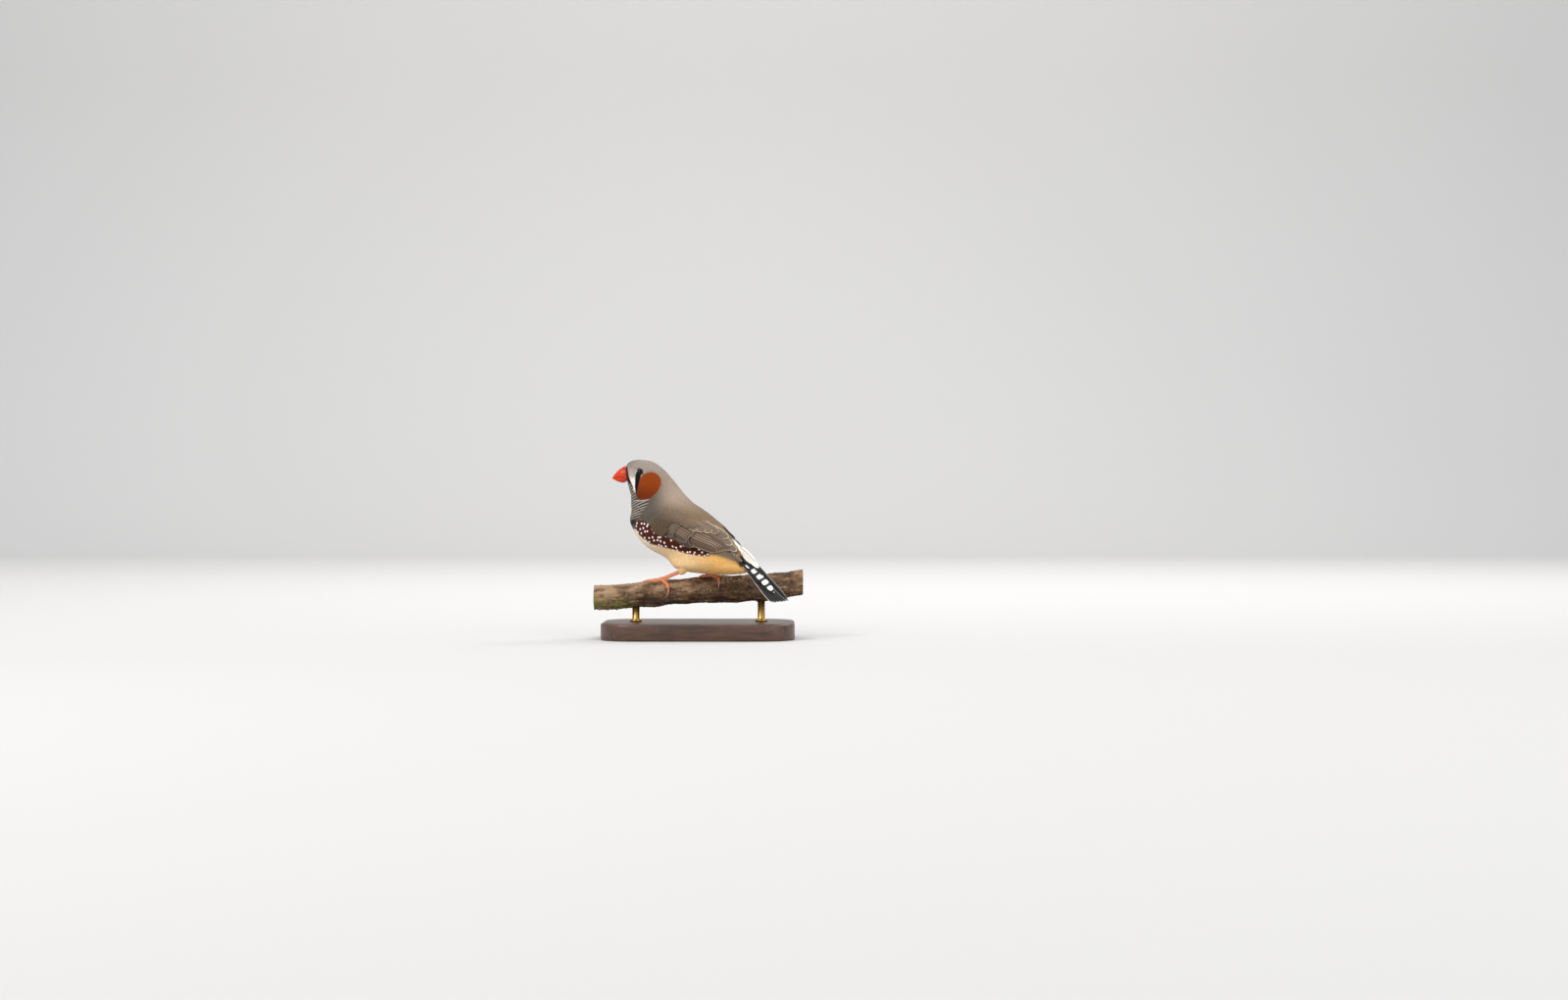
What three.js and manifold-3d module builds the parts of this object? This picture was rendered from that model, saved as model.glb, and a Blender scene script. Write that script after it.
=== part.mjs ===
// A zebra finch cock, life size, perched on a short cut length of branch that a plain stand holds.
// Units are millimetres and +Z is up. The branch runs along X, and the bird faces -X, turned away towards +Y.
// The origin is the centre of the stand's underside.
import * as THREE from "three";
import { mergeVertices } from "three/addons/utils/BufferGeometryUtils.js";
import Module from "manifold-3d";

const wasm = await Module();
wasm.setup();

// Driving sizes
const GAP = 0.3; // clear space between neighbouring pieces
const BODY_YAW = THREE.MathUtils.degToRad(23); // heading of the body, away from the viewer's side
const HEAD_TURN = THREE.MathUtils.degToRad(20); // head turned back towards the viewer's side
const PERCH_RADIUS = 6.2; // at the feet
const ROD_LENGTH = 9; // bare rod between the base and the branch
const BASE = { length: 92, width: 56, height: 8, corner: 16, edge: 1.2 };
const PERCH_HEIGHT = BASE.height + ROD_LENGTH + PERCH_RADIUS; // branch axis above the floor at X 0
const BIRD_Y = -4.4; // puts the two feet evenly on either side of the body

const v3 = (x, y, z) => new THREE.Vector3(x, y, z);
const mix = THREE.MathUtils.lerp;
const bell = (x, centre, spread) => Math.exp(-(((x - centre) / spread) ** 2));

// A smooth curve through points that are numbered from 0: its value at 1.5 lies half way from point 1 to 2.
function through(points) {
  const curve = new THREE.CatmullRomCurve3(points, false, "catmullrom", 0.5);
  const last = points.length - 1;
  return (s) => curve.getPoint(THREE.MathUtils.clamp(s / last, 0, 1));
}

// Closed surface over a list of rings with equal point counts, each end closed by a fan.
function ringSurface(rings) {
  const around = rings[0].length;
  const position = [];
  const index = [];
  rings.flat().forEach((p) => position.push(p.x, p.y, p.z));
  for (let r = 0; r + 1 < rings.length; r++) {
    for (let k = 0; k < around; k++) {
      const a = r * around + k;
      const b = r * around + ((k + 1) % around);
      index.push(a, b, b + around, a, b + around, a + around);
    }
  }
  [0, rings.length - 1].forEach((r) => {
    const centre = rings[r].reduce((sum, p) => sum.add(p), v3(0, 0, 0)).divideScalar(around);
    const tip = position.length / 3;
    position.push(centre.x, centre.y, centre.z);
    for (let k = 0; k < around; k++) {
      const a = r * around + k;
      const b = r * around + ((k + 1) % around);
      index.push(...(r === 0 ? [a, tip, b] : [a, b, tip]));
    }
  });
  return indexed(position, index);
}

function indexed(position, index) {
  const geometry = new THREE.BufferGeometry();
  geometry.setAttribute("position", new THREE.Float32BufferAttribute(position, 3));
  geometry.setIndex(index);
  return geometry;
}

// A geometry as a manifold solid, turned right side out.
function solid(geometry) {
  const bare = new THREE.BufferGeometry();
  bare.setAttribute("position", geometry.getAttribute("position"));
  bare.setIndex(geometry.index);
  const merged = mergeVertices(bare, 1e-4);
  const triangles = new Uint32Array(merged.index.array);
  const p = merged.attributes.position;
  const corner = [v3(), v3(), v3()];
  let volume = 0;
  for (let i = 0; i < triangles.length; i += 3) {
    corner.forEach((c, k) => c.fromBufferAttribute(p, triangles[i + k]));
    volume += corner[0].dot(corner[1].clone().cross(corner[2]));
  }
  if (volume < 0) {
    for (let i = 0; i < triangles.length; i += 3) {
      [triangles[i + 1], triangles[i + 2]] = [triangles[i + 2], triangles[i + 1]];
    }
  }
  return new wasm.Manifold(
    new wasm.Mesh({ numProp: 3, vertProperties: p.array, triVerts: triangles }),
  );
}

// Solid with one matrix applied, for shapes made at the origin.
const placed = (geometry, matrix) => solid(geometry.clone().applyMatrix4(matrix));
const joined = (solids) => solids.reduce((sum, s) => sum.add(s));

// The largest closed surface of a solid, as a geometry.
function geometryOf(shape) {
  const body = shape.decompose().sort((a, b) => b.volume() - a.volume())[0];
  const mesh = body.getMesh();
  return indexed([...mesh.vertProperties], [...mesh.triVerts]).toNonIndexed();
}

// One feather's vane: a thin plate along a path, widest at half its length and narrow at its tip. Both faces
// are split into triangles alike. The path gives a point and the outward direction at 0 (root) to 1 (tip).
const VANE_STATIONS = [0, 0.5, 0.82, 1];
const VANE_WIDTHS = [0.6, 1, 0.84, 0.34];
const VANE_ROOT_THICK = 0.6;
const VANE_TIP_THICK = 0.5;
const VANE_BOW = 0.035; // fall of the edges below the shaft, per square millimetre of half width
const VANE_TILT = 0.1; // raises the upper edge, so that neighbours lie like tiles

function vane(path, half) {
  const position = [];
  const index = [];
  VANE_STATIONS.forEach((a, row) => {
    const { point, normal } = path(a);
    const ahead = path(Math.min(1, a + 0.04)).point.sub(path(Math.max(0, a - 0.04)).point).normalize();
    const side = normal.clone().cross(ahead).normalize();
    const thick = mix(VANE_ROOT_THICK, VANE_TIP_THICK, a);
    for (const lift of [thick / 2, -thick / 2]) {
      for (const k of [-1, 0, 1]) {
        const out = k * half * VANE_WIDTHS[row];
        const p = point.clone().addScaledVector(side, out);
        p.addScaledVector(normal, lift - VANE_BOW * out * out + VANE_TILT * out);
        position.push(p.x, p.y, p.z);
      }
    }
  });
  const at = (row, under, k) => row * 6 + under * 3 + k;
  const quad = (a, b, c, d) => index.push(a, b, c, a, c, d);
  const last = VANE_STATIONS.length - 1;
  for (let row = 0; row < last; row++) {
    for (let k = 0; k < 2; k++) {
      quad(at(row, 0, k), at(row, 0, k + 1), at(row + 1, 0, k + 1), at(row + 1, 0, k));
      index.push(at(row, 1, k), at(row + 1, 1, k + 1), at(row, 1, k + 1));
      index.push(at(row, 1, k), at(row + 1, 1, k), at(row + 1, 1, k + 1));
    }
    quad(at(row, 0, 0), at(row + 1, 0, 0), at(row + 1, 1, 0), at(row, 1, 0));
    quad(at(row + 1, 0, 2), at(row, 0, 2), at(row, 1, 2), at(row + 1, 1, 2));
  }
  for (let k = 0; k < 2; k++) {
    quad(at(0, 0, k + 1), at(0, 0, k), at(0, 1, k), at(0, 1, k + 1));
    quad(at(last, 0, k), at(last, 0, k + 1), at(last, 1, k + 1), at(last, 1, k));
  }
  return solid(indexed(position, index));
}

// Groups and materials
const finch = new THREE.Group();
const bird = new THREE.Group();
bird.rotation.z = -BODY_YAW;
bird.position.set(0, BIRD_Y, PERCH_HEIGHT);
bird.updateMatrixWorld(true);
finch.add(bird);

const colour = (hex, roughness, metalness = 0) =>
  new THREE.MeshStandardMaterial({ color: hex, roughness, metalness });
const GREY_DOWN = colour(0x8f8781, 0.85);
const CREAM_DOWN = colour(0xcdb489, 0.85);
const WING_BROWN = colour(0x6d5f55, 0.75);
const TAIL_BLACK = colour(0x1c1b1d, 0.6);
const BILL_RED = colour(0xe0442c, 0.35);
const EYE_DARK = colour(0x2a120c, 0.08);
const LEG_ORANGE = colour(0xe07a52, 0.5);
const CLAW_HORN = colour(0xd9a184, 0.4);
const BARK = colour(0x6d5748, 0.9);
const STAND_WOOD = colour(0x3a2a20, 0.5);
const STAND_BRASS = colour(0xb08d57, 0.35, 1);

function add(group, name, shape, material) {
  const mesh = new THREE.Mesh(geometryOf(shape), material);
  mesh.name = name;
  group.add(mesh);
}

// Body: a row of flat sections fanned from the bill's base round to the tail's root. Each has a point on
// the back line, a point on the belly line, a half width, and the height at which it is widest.
const BACK = through([
  v3(-36.7, 0, 59.6), v3(-33.6, 0, 61.6), v3(-29.1, 0, 62.3), v3(-23.6, 0, 61.2),
  v3(-18.6, 0, 57.6), v3(-14.0, 0, 52.5), v3(-9.2, 0, 46.8), v3(-3.9, 0, 41.9),
  v3(2.0, 0, 37.3), v3(7.5, 0, 32.6), v3(12.6, 0, 27.8), v3(17.2, 0, 23.8),
  v3(21.6, 0, 20.2), v3(25.2, 0, 17.0), v3(28.0, 0, 14.0), v3(30.2, 0, 11.6),
]);
const BELLY = through([
  v3(-36.0, 0, 51.8), v3(-35.8, 0, 50.4), v3(-35.4, 0, 48.8), v3(-34.9, 0, 47.0),
  v3(-34.4, 0, 44.8), v3(-34.4, 0, 42.0), v3(-34.4, 0, 38.2), v3(-33.4, 0, 33.6),
  v3(-31.1, 0, 28.8), v3(-27.1, 0, 23.4), v3(-21.0, 0, 18.6), v3(-12.7, 0, 13.8),
  v3(-3.3, 0, 9.9), v3(6.6, 0, 8.0), v3(15.5, 0, 7.6), v3(23.0, 0, 8.0),
]);
const BREADTH = through(
  [
    [3.7, 0.46], [5.5, 0.46], [6.7, 0.45], [7.3, 0.44], [7.6, 0.44], [8.0, 0.46],
    [9.2, 0.48], [10.6, 0.5], [11.5, 0.5], [11.9, 0.5], [11.6, 0.5], [10.8, 0.5],
    [9.4, 0.5], [7.4, 0.5], [5.6, 0.5], [3.6, 0.5],
  ].map(([half, seat]) => v3(half, seat, 0)),
);
const SECTIONS = 15;
const BODY_ROWS = 30;
const BODY_AROUND = 26;
const SQUARENESS = 2.15; // 2 would make every section an ellipse
const NECK_PIVOT = v3(-22, 0, 0); // vertical axis that the head turns about
const TURN_START = 7; // section where the twist of the neck begins
const TURN_END = 4.4; // section where the head is turned fully

const turned = (p, share) =>
  p.clone().sub(NECK_PIVOT).applyAxisAngle(v3(0, 0, 1), HEAD_TURN * share).add(NECK_PIVOT);
const headPoint = (x, y, z) => turned(v3(x, y, z), 1);

// Shallow hollows before the eyes and fuller cheeks, as a change of the head's half width.
const cheekShape = (s, angle) =>
  0.55 * bell(s, 3.6, 0.9) * bell(angle, -0.35, 0.6) - 0.5 * bell(s, 0.9, 0.5) * bell(angle, 0.2, 0.6);

function bodyPoint(s, angle, grow = 0) {
  const back = BACK(s);
  const belly = BELLY(s);
  const breadth = BREADTH(s);
  const centre = belly.clone().lerp(back, breadth.y);
  const rise = (angle >= 0 && angle <= Math.PI ? back : belly).clone().sub(centre);
  const power = 2 / SQUARENESS;
  const across = Math.sign(Math.cos(angle)) * Math.abs(Math.cos(angle)) ** power;
  const along = Math.abs(Math.sin(angle)) ** power;
  const side = Math.cos(angle) >= 0 ? angle : Math.PI - angle;
  const half = breadth.x + grow + cheekShape(s, side > Math.PI / 2 ? side - 2 * Math.PI : side);
  const p = centre.addScaledVector(rise, (along * (rise.length() + grow)) / rise.length());
  p.y += across * half;
  return turned(p, 1 - THREE.MathUtils.smoothstep(s, TURN_END, TURN_START));
}

function bodySolid(from, to, rows, around, grow = 0) {
  const rings = [];
  for (let r = 0; r <= rows; r++) {
    const s = mix(from, to, r / rows);
    rings.push(
      Array.from({ length: around }, (_, k) => bodyPoint(s, (2 * Math.PI * k) / around, grow)),
    );
  }
  return solid(ringSurface(rings));
}

// A section's plane, pointing tailwards, for the cuts between head, neck and torso.
function sectionPlane(s) {
  const origin = bodyPoint(s, Math.PI / 2);
  const up = origin.clone().sub(bodyPoint(s, -Math.PI / 2));
  const left = bodyPoint(s, 0).sub(bodyPoint(s, Math.PI));
  const normal = up.cross(left).normalize();
  if (normal.x < 0) normal.negate();
  return { normal, offset: normal.dot(origin) };
}
const NECK_FRONT = sectionPlane(4.5);
const NECK_BACK = sectionPlane(6.5);
const behind = (shape, plane) =>
  shape.trimByPlane(plane.normal.toArray(), plane.offset + GAP / 2);
const ahead = (shape, plane) =>
  shape.trimByPlane(plane.normal.clone().negate().toArray(), -plane.offset + GAP / 2);

const body = bodySolid(0, SECTIONS, BODY_ROWS, BODY_AROUND);
const bodyClear = bodySolid(0, SECTIONS, BODY_ROWS, BODY_AROUND, GAP);

// Eyes: a ball set deep in the head, in a socket with a raised rim of lid.
const EYE = { x: -29.3, y: 4.6, z: 56.0, radius: 2.35 };
const LID = { ring: 1.95, thick: 0.42, out: 1.15 };
const eyeCentre = (side) => headPoint(EYE.x, side * EYE.y, EYE.z);
const eyeBall = (side, grow) => {
  const c = eyeCentre(side);
  const ball = new THREE.SphereGeometry(EYE.radius + grow, 14, 10);
  return placed(ball, new THREE.Matrix4().makeTranslation(c.x, c.y, c.z));
};
function lidRing(side) {
  const outward = v3(-0.22, side, 0.1).normalize().applyAxisAngle(v3(0, 0, 1), HEAD_TURN);
  const centre = eyeCentre(side).addScaledVector(outward, LID.out);
  const turn = new THREE.Quaternion().setFromUnitVectors(v3(0, 0, 1), outward);
  const ring = new THREE.TorusGeometry(LID.ring, LID.thick, 6, 18);
  return placed(ring, new THREE.Matrix4().compose(centre, turn, v3(1, 1, 1)));
}

let head = ahead(body, NECK_FRONT);
for (const side of [-1, 1]) {
  head = head.add(lidRing(side)).subtract(eyeBall(side, GAP));
}
const neck = ahead(behind(body, NECK_FRONT), NECK_BACK);
add(bird, "head", head, GREY_DOWN);
add(bird, "neck", neck, GREY_DOWN);
add(bird, "eye_left", eyeBall(-1, 0), EYE_DARK);
add(bird, "eye_right", eyeBall(1, 0), EYE_DARK);

// Bill: two horny halves that part along a line which drops near the corner of the mouth.
const CULMEN = through([
  v3(-37.05, 0, 59.4), v3(-39.2, 0, 58.7), v3(-41.2, 0, 57.2), v3(-42.8, 0, 55.3), v3(-43.7, 0, 53.4),
]);
const GONYS = through([
  v3(-36.35, 0, 51.9), v3(-38.2, 0, 51.3), v3(-40.2, 0, 51.6), v3(-42.0, 0, 52.4), v3(-43.3, 0, 53.1),
]);
const MOUTH = through([
  v3(-36.45, 0, 52.9), v3(-38.4, 0, 54.0), v3(-40.4, 0, 54.1), v3(-42.2, 0, 53.7), v3(-43.5, 0, 53.25),
]);
const BILL_HALF = through([3.6, 3.15, 2.35, 1.35, 0.3].map((half) => v3(half, 0, 0)));
const BILL_STEPS = 8;
const BILL_AROUND = 14;

function billSolid(ridge, overhang, lift) {
  const rings = [];
  for (let r = 0; r <= BILL_STEPS; r++) {
    const s = (4 * r) / BILL_STEPS;
    const edge = MOUTH(s).add(v3(0, 0, lift));
    const rise = ridge(s).sub(edge);
    const half = BILL_HALF(s).x * overhang;
    const ring = Array.from({ length: BILL_AROUND }, (_, k) => {
      const angle = (Math.PI * k) / (BILL_AROUND - 1);
      const p = edge.clone().addScaledVector(rise, Math.abs(Math.sin(angle)) ** 0.85);
      p.y = half * Math.cos(angle);
      return turned(p, 1);
    });
    rings.push(ring);
  }
  return solid(ringSurface(rings));
}

// Nostrils: a small oval pit on each side, high at the bill's base.
const NOSTRIL = { along: 0.55, angle: 0.98, size: 0.5 };
function nostril(side) {
  const edge = MOUTH(NOSTRIL.along);
  const p = edge.clone().addScaledVector(CULMEN(NOSTRIL.along).sub(edge), Math.sin(NOSTRIL.angle) ** 0.85);
  p.y = side * BILL_HALF(NOSTRIL.along).x * Math.cos(NOSTRIL.angle);
  const pit = new THREE.SphereGeometry(NOSTRIL.size, 7, 5).scale(1.4, 1, 0.8);
  const { x, y, z } = turned(p, 1);
  return placed(pit, new THREE.Matrix4().makeTranslation(x, y, z));
}
const upperBill = billSolid(CULMEN, 1, GAP / 2).subtract(nostril(-1)).subtract(nostril(1));
add(bird, "bill_upper", upperBill, BILL_RED);
add(bird, "bill_lower", billSolid(GONYS, 0.93, -GAP / 2), BILL_RED);

// Branch: a slightly bent rod that rises and thickens to the right, with two knots. The points of its middle
// line and its radii stand a quarter of its length apart.
const PERCH = { from: -50, to: 50, rows: 20, around: 16 };
const PERCH_LINE = through([
  v3(-50, -0.35, -3.6), v3(-25, -0.45, -2.2), v3(0, 0, -0.2), v3(25, 0.45, 0.8), v3(50, 0.35, 3.5),
]);
const PERCH_RADII = through([5.4, 5.8, PERCH_RADIUS, 6.35, 6.1].map((radius) => v3(radius, 0, 0)));
const perchShare = (x) => (4 * (x - PERCH.from)) / (PERCH.to - PERCH.from);
const PERCH_KNOTS = [
  { x: -38, angle: 2.4, size: 1.3 },
  { x: 30, angle: -2.6, size: 1.1 },
];
const perchAxis = (x) => {
  const { y, z } = PERCH_LINE(perchShare(x));
  return v3(x, y, PERCH_HEIGHT + z);
};
const wrapped = (angle) => Math.atan2(Math.sin(angle), Math.cos(angle));

// A point over the bark: the angle is 0 on top and grows towards the viewer's side, which is -Y.
function perchPoint(x, angle, out = 0) {
  const knots = PERCH_KNOTS.reduce(
    (sum, k) => sum + k.size * bell(x, k.x, 3.4) * bell(wrapped(angle - k.angle), 0, 0.55),
    0,
  );
  const radius = PERCH_RADII(perchShare(x)).x + 0.12 * Math.sin(x / 5 + 2 * angle) + knots + out;
  return perchAxis(x).add(v3(0, -radius * Math.sin(angle), radius * Math.cos(angle)));
}

function perchSolid(out) {
  const rings = [];
  for (let r = 0; r <= PERCH.rows; r++) {
    const x = mix(PERCH.from - out, PERCH.to + out, r / PERCH.rows);
    rings.push(
      Array.from({ length: PERCH.around }, (_, k) => perchPoint(x, (2 * Math.PI * k) / PERCH.around, out)),
    );
  }
  return solid(ringSurface(rings));
}
const perch = perchSolid(0);
const perchClear = perchSolid(GAP);
add(finch, "perch", perch, BARK);

// The same clear branch seen from the bird's own group.
const toBird = bird.matrixWorld.clone().invert();
const perchInBird = perchClear.transform(toBird.toArray());

// Thighs: short feathered cones under the belly, each ending in a flat face for the leg.
// Feet are given by their place on the branch, and the legs run from them towards the hidden heels.
const LEGS = {
  left: { footX: -17.9, footAngle: 0.33, thigh: v3(-3.0, -6.6, 16.5), cuff: v3(-6.9, -6.0, 8.9) },
  right: { footX: 6.7, footAngle: 0.26, thigh: v3(8.5, 5.6, 15.0), cuff: v3(8.2, 5.6, 9.6) },
};
const TARSUS = { radius: 0.88, thick: 1.12 };
const CUFF_RADIUS = 1.75;
const THIGH_RADIUS = 5.2;
const FOOT_RISE = 1.05; // joint of the toes above the bark

const footJoint = (leg) => perchPoint(leg.footX, leg.footAngle, FOOT_RISE);

// Round tube along a path, with its radii at even steps.
function tube(path, radii, around) {
  const curve = new THREE.CatmullRomCurve3(path, false, "catmullrom", 0.5);
  const rows = radii.length - 1;
  const rings = radii.map((radius, r) => {
    const centre = curve.getPoint(r / rows);
    const ahead = curve.getTangent(r / rows);
    const level = v3(0, 0, 1).cross(ahead).normalize();
    const above = ahead.clone().cross(level);
    return Array.from({ length: around }, (_, k) => {
      const angle = (2 * Math.PI * k) / around;
      return centre
        .clone()
        .addScaledVector(level, radius * Math.cos(angle))
        .addScaledVector(above, radius * Math.sin(angle));
    });
  });
  return solid(ringSurface(rings));
}

function thighSolid(leg) {
  const foot = footJoint(leg).applyMatrix4(toBird);
  const axis = foot.clone().sub(leg.cuff).normalize();
  const middle = leg.thigh.clone().lerp(leg.cuff, 0.55).addScaledVector(axis, -1.2);
  return tube(
    [leg.thigh, middle, leg.cuff.clone().addScaledVector(axis, -1.2), leg.cuff],
    [THIGH_RADIUS, 4.5, 3.6, 2.5, CUFF_RADIUS],
    12,
  );
}

// A scaly leg from the cuff of its thigh to just above the toes' joint, in the outer group.
const LEG_END = 1.35; // distance of the leg's end from the middle of the joint
function legSolid(leg, grow = 0) {
  const foot = footJoint(leg);
  const cuff = leg.cuff.clone().applyMatrix4(bird.matrixWorld);
  const axis = foot.clone().sub(cuff).normalize();
  const top = cuff.addScaledVector(axis, GAP);
  const end = foot.addScaledVector(axis, grow - LEG_END - GAP);
  const middle = top.clone().lerp(end, 0.5);
  const radii = [TARSUS.thick, TARSUS.radius, TARSUS.radius, TARSUS.thick].map((r) => r + grow);
  return tube([top, middle, end], radii, 9);
}

const bodyClearOutside = bodyClear.transform(bird.matrixWorld.toArray());
const thighs = {};
for (const [name, leg] of Object.entries(LEGS)) {
  thighs[name] = thighSolid(leg);
  add(finch, "leg_" + name, legSolid(leg).subtract(perchClear).subtract(bodyClearOutside), LEG_ORANGE);
}

// Feet: each toe lies along the bark from the joint to its claw, given as distance along the branch and
// turn round it. Front toes pass over the top, and the hind toe grips the viewer's side.
const TOES = {
  left: [
    { name: "hind", reach: [[0.7, 0.1], [2.8, 0.5], [3.9, 0.95]], claw: [[3.3, 1.35], [1.9, 1.62]], radius: 0.86 },
    { name: "inner", reach: [[-1.2, -0.35], [-3.2, -0.9], [-4.3, -1.5]], claw: [[-4.9, -1.85], [-4.7, -2.2]], radius: 0.7 },
    { name: "middle", reach: [[-1.6, -0.28], [-5.2, -0.76], [-8.2, -1.2]], claw: [[-9.6, -1.5], [-10.2, -1.85]], radius: 0.76 },
    { name: "outer", reach: [[-1.5, -0.06], [-4.5, -0.16], [-7.0, -0.2]], claw: [[-8.8, -0.06], [-9.8, 0.2]], radius: 0.7 },
  ],
  right: [
    { name: "hind", reach: [[0.7, 0.1], [2.3, 0.3], [3.1, 0.66]], claw: [[3.1, 1.02], [2.7, 1.34]], radius: 0.86 },
    { name: "inner", reach: [[-1.3, -0.04], [-3.6, -0.02], [-5.5, 0.02]], claw: [[-6.6, 0.16], [-7.3, 0.42]], radius: 0.7 },
    { name: "middle", reach: [[-1.6, -0.2], [-5.0, -0.72], [-8.2, -1.2]], claw: [[-9.5, -1.52], [-10.0, -1.86]], radius: 0.76 },
    { name: "outer", reach: [[-1.0, -0.3], [-2.7, -0.9], [-3.7, -1.52]], claw: [[-4.2, -1.88], [-4.0, -2.2]], radius: 0.7 },
  ],
};
const CLAW_RADIUS = 0.56;

// Path of a toe over the bark at the height of its own radius.
const onBark = (leg, steps, out) =>
  steps.map(([along, turn]) => perchPoint(leg.footX + along, leg.footAngle + turn, out));

function footSolid(leg, toes) {
  const joint = footJoint(leg);
  const knuckle = placed(
    new THREE.SphereGeometry(1.3, 8, 6),
    new THREE.Matrix4().makeTranslation(joint.x, joint.y, joint.z),
  );
  const toeSolids = toes.map((toe) =>
    tube([joint, ...onBark(leg, toe.reach, toe.radius + 0.1)],
      [1.0, 1.08, 0.92, 1.04, 0.9, 0.98, 0.74].map((f) => f * toe.radius), 7),
  );
  return joined([knuckle, ...toeSolids]).subtract(perchClear);
}

function clawSolid(leg, toe) {
  const [root] = onBark(leg, [toe.reach.at(-1)], toe.radius + 0.1);
  const path = onBark(leg, toe.claw, CLAW_RADIUS - 0.05);
  const start = root.clone().lerp(path[0], (toe.radius * 0.2 + GAP) / root.distanceTo(path[0]));
  return tube([start, path[0], path[1]], [1, 0.86, 0.62, 0.3].map((f) => f * CLAW_RADIUS), 7)
    .subtract(perchClear);
}

for (const [name, leg] of Object.entries(LEGS)) {
  const foot = footSolid(leg, TOES[name]).subtract(legSolid(leg, GAP));
  add(finch, "foot_" + name, foot, LEG_ORANGE);
  for (const toe of TOES[name]) {
    add(finch, `claw_${name}_${toe.name}`, clawSolid(leg, toe), CLAW_HORN);
  }
}

const torso = behind(body, NECK_BACK).subtract(perchInBird);
add(bird, "torso", torso, CREAM_DOWN);
add(bird, "thigh_left", thighs.left.subtract(bodyClear).subtract(perchInBird), CREAM_DOWN);
add(bird, "thigh_right", thighs.right.subtract(bodyClear).subtract(perchInBird), CREAM_DOWN);

// Folded wing, as three lines from the bend to the tip: lower edge, middle, and the edge along the back.
// y is the distance out from the body's middle.
const WING_LOW = through([
  v3(-22.0, 10.6, 32.4), v3(-15.5, 12.5, 27.6), v3(-8.0, 13.2, 24.7), v3(0.0, 13.2, 20.8),
  v3(7.7, 11.7, 18.1), v3(17.0, 9.0, 16.1), v3(25.7, 5.6, 12.9),
]);
const WING_MIDDLE = through([
  v3(-19.0, 11.2, 37.4), v3(-11.6, 12.9, 33.4), v3(-3.6, 13.0, 29.8), v3(4.4, 12.0, 25.4),
  v3(11.7, 9.7, 21.5), v3(19.0, 7.4, 17.8), v3(26.1, 5.1, 13.8),
]);
const WING_TOP = through([
  v3(-13.0, 9.4, 42.2), v3(-6.0, 9.0, 39.8), v3(2.0, 7.4, 35.4), v3(9.4, 5.2, 30.2),
  v3(15.8, 3.0, 25.3), v3(21.4, 3.6, 20.0), v3(26.4, 4.6, 14.7),
]);
const WING_LAST = 6;

function wingPoint(side, u, v) {
  const low = WING_LOW(u * WING_LAST);
  const middle = WING_MIDDLE(u * WING_LAST);
  const top = WING_TOP(u * WING_LAST);
  const p = low
    .multiplyScalar((1 - v) * (1 - 2 * v))
    .addScaledVector(middle, 4 * v * (1 - v))
    .addScaledVector(top, v * (2 * v - 1));
  p.y *= side;
  return p;
}

function wingFrame(side, u, v) {
  const step = 0.01;
  const point = wingPoint(side, u, v);
  const back = wingPoint(side, Math.min(1, u + step), v).sub(wingPoint(side, Math.max(0, u - step), v));
  const up = wingPoint(side, u, v + step).sub(wingPoint(side, u, v - step));
  const normal = back.cross(up).normalize();
  if (normal.y * side < 0) normal.negate();
  return { point, normal };
}

// Shoulder and arm of the wing under its feathers: a shell over the body, thick in front and thin behind.
const WING_CORE_END = 0.6;
function wingCore(side) {
  const rows = 11;
  const across = 9;
  const rings = [];
  for (let r = 0; r <= rows; r++) {
    const u = mix(0, WING_CORE_END, r / rows);
    const outer = mix(0.95, 0.1, THREE.MathUtils.smoothstep(u, 0.1, 0.4));
    const depth = Math.sqrt(Math.min(1, (u + 0.02) / 0.1)); // rounds the bend of the wing
    const row = (lift, flip) =>
      Array.from({ length: across }, (_, k) => {
        const share = (flip ? -1 : 1) * ((2 * k) / (across - 1) - 1);
        const v = 0.5 + 0.5 * depth * share;
        const edge = Math.sqrt(1 - share ** 4);
        const { point, normal } = wingFrame(side, u, v);
        return point.addScaledVector(normal, lift * (0.35 + 0.65 * edge));
      });
    rings.push([...row(outer, false), ...row(-1, true)]);
  }
  return solid(ringSurface(rings));
}

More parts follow.
